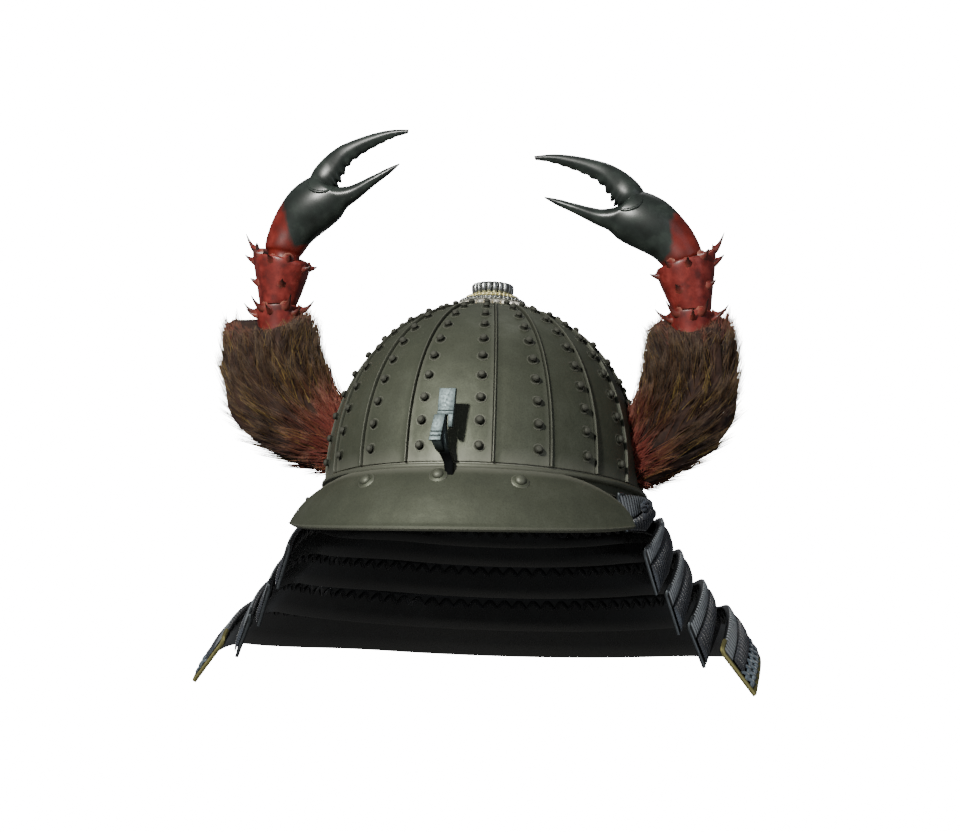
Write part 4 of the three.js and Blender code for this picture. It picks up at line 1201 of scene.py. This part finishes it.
def oval_point(row, angle, grow=1.0):
    """A point on a station's oval: angle 0 is its first edge, 90 degrees its rear, 270 its front."""
    ax, az, bx, bz, depth, forward = row
    c, s = math.cos(angle) * grow, math.sin(angle) * grow
    return vec((ax + bx) / 2 + (ax - bx) / 2 * c, -forward + depth * s, (az + bz) / 2 + (az - bz) / 2 * c)


def limb(rows, side, stations_count, sides, joint="arm", lean=0.0, shape=None, mark=None):
    """Lofts a limb; shape(t, angle) swells its ovals and mark(t, angle) marks its points."""
    sections = []
    for i in range(stations_count + 1):
        t = i / stations_count
        row = row_at(rows, t)
        section = []
        for j in range(sides):
            angle = math.tau * j / sides
            grow = shape(t, angle) if shape else 1.0
            section.append(set_crest(oval_point(row, angle, grow), side, joint, lean))
        sections.append(section)
    point_mark = (lambda i, j: mark(i / stations_count, math.tau * j / sides)) if mark else None
    return loft(sections, mark=point_mark)


THORN = ((-0.28, 1.35), (0.0, 1.0), (0.25, 0.66), (0.5, 0.44), (0.75, 0.26), (1.0, 0.08))


def spines(bm, rows, t, side, degrees, length, radius, lift):
    """Bent thorns on a limb's surface, each pointing out and up along the limb."""
    ahead, behind = row_at(rows, min(1, t + 0.05)), row_at(rows, max(0, t - 0.05))
    axis = (oval_point(ahead, 0, 0) - oval_point(behind, 0, 0)).normalized()
    here = row_at(rows, t)
    for angle in map(math.radians, degrees):
        foot = oval_point(here, angle)
        out = (foot - oval_point(here, angle, 0)).normalized()
        path = [set_crest(foot + out * (length * k) + axis * (lift * length * k * k), side) for k, r in THORN]
        rings = tube_sections(path, lambda k: radius * THORN[round(k * 5)][1], 8, normal=vec(0.1, 0.3, 1))
        loft(rings, into=bm, mark=lambda i, j: min(0.9, max(0.0, THORN[i][0])))


print("limb helpers ready")

# %% [markdown]
# The red cups have a ragged rim, cut by hand, so the section's size wanders near the top and the rim turns
# in to leave a hollow for the next joint, darkened from the rim inwards with painted shade. The spines are
# thin curved tubes that end in a point.

# %% Legs and cups
LEG_RIM = ((134.6, 122.6, 164.4, 122.6, 13.2, 17), (137, 119, 162, 119, 11, 17))
CUP_RIM = ((131, 156, 163, 166, 13.2, 20.5), (134, 148, 158, 155, 10.5, 20.5))
CUP_SPINES = ((12, 0.7, 5.85), (70, 0.72, 6.3), (128, 0.66, 6.75), (186, 0.62, 7.2), (228, 0.7, 5.85),
              (262, 0.62, 6.3), (298, 0.7, 5.4), (338, 0.6, 6.75), (206, 0.38, 5.4), (288, 0.34, 4.95))
RIM_RAISE, RIM_DIP, RIM_REACH = 5.5, 6, 36


def ragged(angle, count, phase):
    return 0.5 + 0.5 * math.sin(angle * count + phase) * math.cos(angle * (count - 2) - phase)


def carve_leg(side, word):
    # Painted shade: the mark darkens the leg from just below its rim into the hollow under the cup.
    leg = limb(LEG + LEG_RIM, side, 56, 32, shape=lambda t, a: 1 + 0.05 * ragged(a, 5, 1) * max(0, t - 0.6),
               mark=lambda t, a: clamped((t - 0.74) * 8))
    spines(leg, LEG, 0.985, side, (8, 62, 125, 180, 238, 305), 9.5, 3.3, 0.75)
    spines(leg, LEG, 0.93, side, (200, 262, 330), 7.5, 2.6, 0.6)
    piece(f"crest_leg_{word}_carved", leg, RED, [f"crest_leg_{word}"], 50)


def tilt_rim(cup):
    """Raises the cup's rim at the back and dips it at the front, where the claw's root shows."""
    top = max(v.co.z for v in cup.verts)
    for v in cup.verts:
        forward = -v.co.y / MM
        near, far = clamped((forward - 21) / 12), clamped((19 - forward) / 12)
        high = clamped(1 - (top - v.co.z) / MM / RIM_REACH)
        v.co.z += (RIM_RAISE * far - RIM_DIP * near) * MM * high * high


def carve_cup(side, word):
    # Painted shade: the mark darkens the cup from just below its rim into its hollow round the claw's root.
    cup = limb(CARPUS + CUP_RIM, side, 60, 36, mark=lambda t, a: clamped((t - 0.66) * 7),
               shape=lambda t, a: 1 + 0.07 * ragged(a, 5, 2) * max(0, math.sin(math.pi * min(1, t * 1.4))))
    tilt_rim(cup)
    spines(cup, CARPUS, 0.97, side, (178,), 6.5, 3.4, 1.5)
    for turn, t, length in CUP_SPINES:
        spines(cup, CARPUS, t, side, (turn,), length, 3.5, 0.4)
    piece(f"crest_carpus_{word}_carved", cup, RED, [f"crest_carpus_{word}"], 50)


for side, word in SIDES:
    carve_leg(side, word)
    carve_cup(side, word)
print("legs and cups:", triangles("crest_"), "triangles")

# %% [markdown]
# The claw has a swollen hand that runs out into the fixed finger, and a movable finger set into the
# knuckle. The carver gave the finger a row of blunt teeth on its inner edge and a long groove on its front,
# and raised a ridge round the knuckle. These are shaped in the section itself, so they are real relief.

# %% Claws
def tooth(t, angle, start, count, depth):
    """Blunt teeth on the edge at angle 0, fading away round the section."""
    near = max(0.0, math.cos(angle)) ** 6
    wave = 0.5 + 0.5 * math.sin(count * math.tau * t ** 0.9) * (0.7 + 0.3 * math.sin(7 * t))
    return near * depth * wave * clamped((t - start) * 8) * clamped((0.97 - t) * 8)


def finger_shape(t, angle):
    groove = 0.10 * max(0.0, math.sin(angle - math.pi)) ** 8 * clamped((t - 0.12) * 6)
    ridge = 0.05 * math.exp(-((angle - math.radians(232)) / 0.3) ** 2)
    return 1 + tooth(t, angle, 0.1, 13, 0.34) - groove * (1 - t) + ridge


def palm_shape(t, angle):
    knuckle = math.exp(-((t - 0.5) / 0.05) ** 2) * max(0.0, -math.cos(angle + 0.5)) ** 2
    belly = math.exp(-((t - 0.3) / 0.16) ** 2) * max(0.0, math.sin(angle - math.pi)) ** 2
    return 1 + 0.01 * knuckle + 0.03 * belly + tooth(t, math.pi - angle, 0.64, 16, 0.12)


PALM_ROOT = ((137, 145, 157, 149, 9, 20.5),)


def past_root(t):
    """The place on the palm's own rows, for a place on the limb that has one more row at its root."""
    return (t * len(PALM) - 1) / (len(PALM) - 1)


def red_to_green(t, angle):
    """How far along the claw a point counts for its two colours, whose border slants round the wrist."""
    return 0.98 * past_root(t) + 0.045 + 0.075 * math.cos(angle) - 0.03 * math.sin(2 * angle + 0.6)


def knuckle_line(palm, side, steps=30):
    """The ridge's path behind the movable finger, dropped on the palm's front skin and smoothed."""
    skin = BVHTree.FromBMesh(palm)
    line = []
    for k in range(steps + 1):
        x, z = row_at(COLLAR, k / steps)
        above = set_crest(vec(x, -90, z), side, "palm") * MM
        hit = skin.ray_cast(above, Vector((0, 1, 0)))[0]
        line.append(hit / MM if hit else vec(above.x / MM, -29, above.z / MM))
    neighbours = [line[max(0, k - 2):k + 3] for k in range(len(line))]
    return [sum(near, vec(0, 0, 0)) / len(near) for near in neighbours]


def carve_claw(side, word):
    palm = limb(PALM_ROOT + PALM, side, 121, 36, joint="palm", mark=red_to_green,
                shape=lambda t, a: palm_shape(max(0.0, past_root(t)), a))
    line = knuckle_line(palm, side)
    ridge = tube_sections(line, lambda k: 0.2 + 1.1 * math.sin(math.pi * (0.02 + 0.96 * k)), 8,
                          normal=vec(0, 1, 0))
    loft(ridge, into=palm, mark=lambda i, j: 0.6)
    piece(f"crest_palm_{word}_lacquered", palm, CLAW, [f"crest_palm_{word}"], 60)
    finger = limb(FINGER, side, 120, 36, joint="finger", shape=finger_shape, mark=lambda t, a: 0.4 + 0.6 * t)
    piece(f"crest_finger_{word}_lacquered", finger, CLAW, [f"crest_finger_{word}"], 60)


for side, word in SIDES:
    carve_claw(side, word)
print("claws made")

# %% [markdown]
# Hair is made as real strands. Each lock has one tip on the hair's outer form, and fifteen strands run to
# it from the leg below, so the outline breaks into points as combed animal hair does. One thin three-sided
# spike is the template. It is doubled with the duplicate operator until there are enough, and each copy is
# then bent along its own curve. A closed under-layer stops light from passing between the strands, and its
# dark brown is painted shade for the depth of the hair.

# %% The hair's form
LOCKS, STRANDS_PER_LOCK = 460, 15
STRAND_RADIUS, ROOT_GROW = 0.52, 0.72
OUTER_SPREAD = {1: 2.0, -1: 9.5}
TOP_SPREAD = {1: 6.0, -1: 2.0}
ROOT_TUCK, FRONT_DIP = 7.0, 15.0


def hair_point(side, t, angle, grow=1.0):
    """A point on the combed hair's outer form: lower at the front, and wider on the wearer's right."""
    p = oval_point(row_at(HAIR_FORM, t), angle, grow)
    inward, outward = max(0.0, math.cos(angle)), max(0.0, -math.cos(angle))
    p.x += OUTER_SPREAD[side] * outward * min(1.0, 0.25 + 2 * t)
    p.x -= ROOT_TUCK * inward * (1 - t)
    p.x += TOP_SPREAD[side] * inward * t * t
    p.z -= FRONT_DIP * max(0.0, -math.sin(angle)) ** 1.5 * max(0.0, (t - 0.55) / 0.45) ** 1.5
    return p


def spikes(count):
    """A bmesh of many copies of one thin three-sided spike along Z, and the points of one of them."""
    bm = bmesh.new()
    bmesh.ops.create_cone(bm, cap_ends=True, segments=3, radius1=1, radius2=0.02, depth=1)
    bmesh.ops.translate(bm, verts=bm.verts, vec=(0, 0, 0.5))
    uprights = [e for e in bm.edges if abs(e.verts[0].co.z - e.verts[1].co.z) > 0.5]
    bmesh.ops.subdivide_edges(bm, edges=uprights, cuts=3, use_grid_fill=False)
    template = as_mesh(bm)
    bm = bmesh.new()
    bm.from_mesh(template)
    for name in ("mark", "shade", "rooted"):
        bm.verts.layers.float.new(name)
    shape = [v.co.copy() for v in bm.verts]
    copies = 1
    while copies < count:
        take = min(copies, count - copies) * len(shape)
        bm.verts.ensure_lookup_table()
        chosen = set(bm.verts[:take])
        faces = [f for f in bm.faces if all(v in chosen for v in f.verts)]
        bmesh.ops.duplicate(bm, geom=list(chosen) + list({e for f in faces for e in f.edges}) + faces)
        copies += take // len(shape)
    bm.verts.ensure_lookup_table()
    return bm, shape


print("hair form and spikes ready")

# %% [markdown]
# Every strand is a curve of three points: its root, a middle that leans along the leg, and its end near the
# lock's tip. Locks are thicker towards the top of the leg, and those near its root and its rim are dyed
# red.

# %% Combing
def lock_strands(side):
    """Root, middle, end, shade and redness of every strand of one fur."""
    strands = []
    for lock in range(LOCKS):
        t = 0.02 + 0.98 * random.random() ** 0.68
        angle = math.tau * random.random()
        tip = hair_point(side, t, angle, random.uniform(0.97, 1.06))
        along = hair_point(side, min(1, t + 0.06), angle) - hair_point(side, max(0, t - 0.06), angle)
        along.normalize()
        tip += along * random.uniform(-1, 5 if t < 0.88 else 12)
        shade = random.random() ** 1.3
        rooted = max(clamped(1.3 - 3.0 * t + 0.35 * math.cos(angle)), min(0.6, 5 * (t - 0.84)))
        for strand in range(STRANDS_PER_LOCK):
            t_root = max(0.0, t - random.uniform(0.14, 0.36))
            root = hair_point(side, t_root, angle + random.uniform(-0.4, 0.4), ROOT_GROW)
            jitter = vec(*(random.gauss(0, 1.5) for _ in range(3)))
            end = root.lerp(tip + jitter, random.uniform(0.82, 1.04))
            lean = along * 2 + vec(*(random.gauss(0, 1.2) for _ in range(3)))
            tone = clamped(0.5 * shade + random.gauss(0.25, 0.2))
            strands.append((root, root.lerp(end, 0.5) + lean, end, tone, rooted))
    return strands


def fur_piece(side, word):
    bm, shape = spikes(LOCKS * STRANDS_PER_LOCK)
    marks, shades, roots = (bm.verts.layers.float[name] for name in ("mark", "shade", "rooted"))
    for k, (*curve, shade, rooted) in enumerate(lock_strands(side)):
        p0, p1, p2 = (set_crest(p, side, lean=FUR_TURN) for p in curve)
        x = (p2 - p0).normalized().cross(vec(0.3, 1, 0.2)).normalized()
        y = (p2 - p0).normalized().cross(x)
        for n, local in enumerate(shape):
            v = bm.verts[k * len(shape) + n]
            z = local.z
            bent = p0 * (1 - z) ** 2 + p1 * (2 * z * (1 - z)) + p2 * z * z
            v.co = (bent + (x * local.x + y * local.y) * STRAND_RADIUS) * MM
            v[marks] = z
            v[shades] = shade
            v[roots] = rooted
    piece(f"crest_fur_{word}_strands", bm, HAIR, [f"crest_fur_{word}"], 180)


def under_fur(side, word, rows=40, sides=40):
    sections = []
    for i in range(rows + 1):
        section = []
        for a in (math.tau * j / sides for j in range(sides)):
            grow = 0.8 + 0.04 * math.sin(a * 11 + 0.08 * i) + 0.03 * math.sin(a * 23) - 0.1 * (i > rows - 2)
            section.append(set_crest(hair_point(side, i / rows, a, grow), side, lean=FUR_TURN))
        sections.append(section)
    piece(f"crest_fur_{word}_underfur", loft(sections), UNDERFUR_SHADE, (), 180)


for side, word in SIDES:
    fur_piece(side, word)
    under_fur(side, word)
print("hair:", triangles("crest_fur"), "triangles")

# %% [markdown]
# ## Stage and light
# A plain pale floor lies well below, because the helmet is shown held up, and a white shell closes the view
# in every direction. One small bright lamp stands just left of the viewer and a little above, so the rivets
# and the holder throw crisp short shadows down to the right. Two weak wide ones fill the far side and the
# crown.

# %% Stage and lamps
FLOOR, FLOOR_RADIUS = -3.0, 7.4
SHELL_RADIUS, SHELL_GLOW = 8, 18.0


def plain(name, hexes, glow=0.0):
    return finish(begin(name)[0], {"Roughness": 0.9, "Base Color": hexes, "Emission Color": hexes,
                                   "Emission Strength": glow})


def stage_piece(name, bm, material):
    obj = smooth_object(name, bm, material)
    return obj


ground = bmesh.new()
bmesh.ops.create_circle(ground, cap_ends=True, segments=96, radius=FLOOR_RADIUS)
bmesh.ops.translate(ground, verts=ground.verts, vec=(0, 0, FLOOR))
stage_piece("floor", ground, plain("pale_floor_paint", "#e6e4df"))
shell = bmesh.new()
bmesh.ops.create_uvsphere(shell, u_segments=64, v_segments=32, radius=SHELL_RADIUS)
bmesh.ops.reverse_faces(shell, faces=shell.faces)
backdrop = stage_piece("backdrop", shell, plain("pale_backdrop_cloth", "#fafaf9", SHELL_GLOW))
for ray in ("visible_diffuse", "visible_glossy", "visible_transmission", "visible_shadow"):
    setattr(backdrop, ray, False)


def lamp(name, azimuth, elevation, distance, size, watts, hexes):
    """A round lamp that faces the helmet's middle, a little above the brow."""
    data = bpy.data.lights.new(name, "AREA")
    data.shape = "DISK"
    data.size = size
    data.energy = watts
    data.color = colour(hexes)[:3]
    obj = bpy.data.objects.new(name, data)
    bpy.context.scene.collection.objects.link(obj)
    away = towards(azimuth, elevation)
    obj.location = away * distance + vec(0, 0, 0.05)
    obj.rotation_mode = "QUATERNION"
    obj.rotation_quaternion = away.to_track_quat("Z", "Y")


lamp("key_lamp", -15, 20, 2.2, 0.18, 62, "#fffef8")
lamp("side_fill", 48, 12, 2.8, 1.8, 8, "#f4f7ff")
lamp("crown_lamp", 170, 70, 2.6, 1.2, 6, "#ffffff")
world = bpy.data.worlds.new("studio_air")
world.use_nodes = True
air = world.node_tree.nodes["Background"]
air.inputs["Color"].default_value = colour("#dfe3e8")
air.inputs["Strength"].default_value = 0.17
bpy.context.scene.world = world
print("stage and lamps set")

# %% [markdown]
# Last, the number of pieces and of triangles is printed, with the six largest pieces.

# %% Counts
print("pieces:", len(made), "triangles:", sum(made.values()))
print("largest:", sorted(made.items(), key=lambda item: -item[1])[:6])
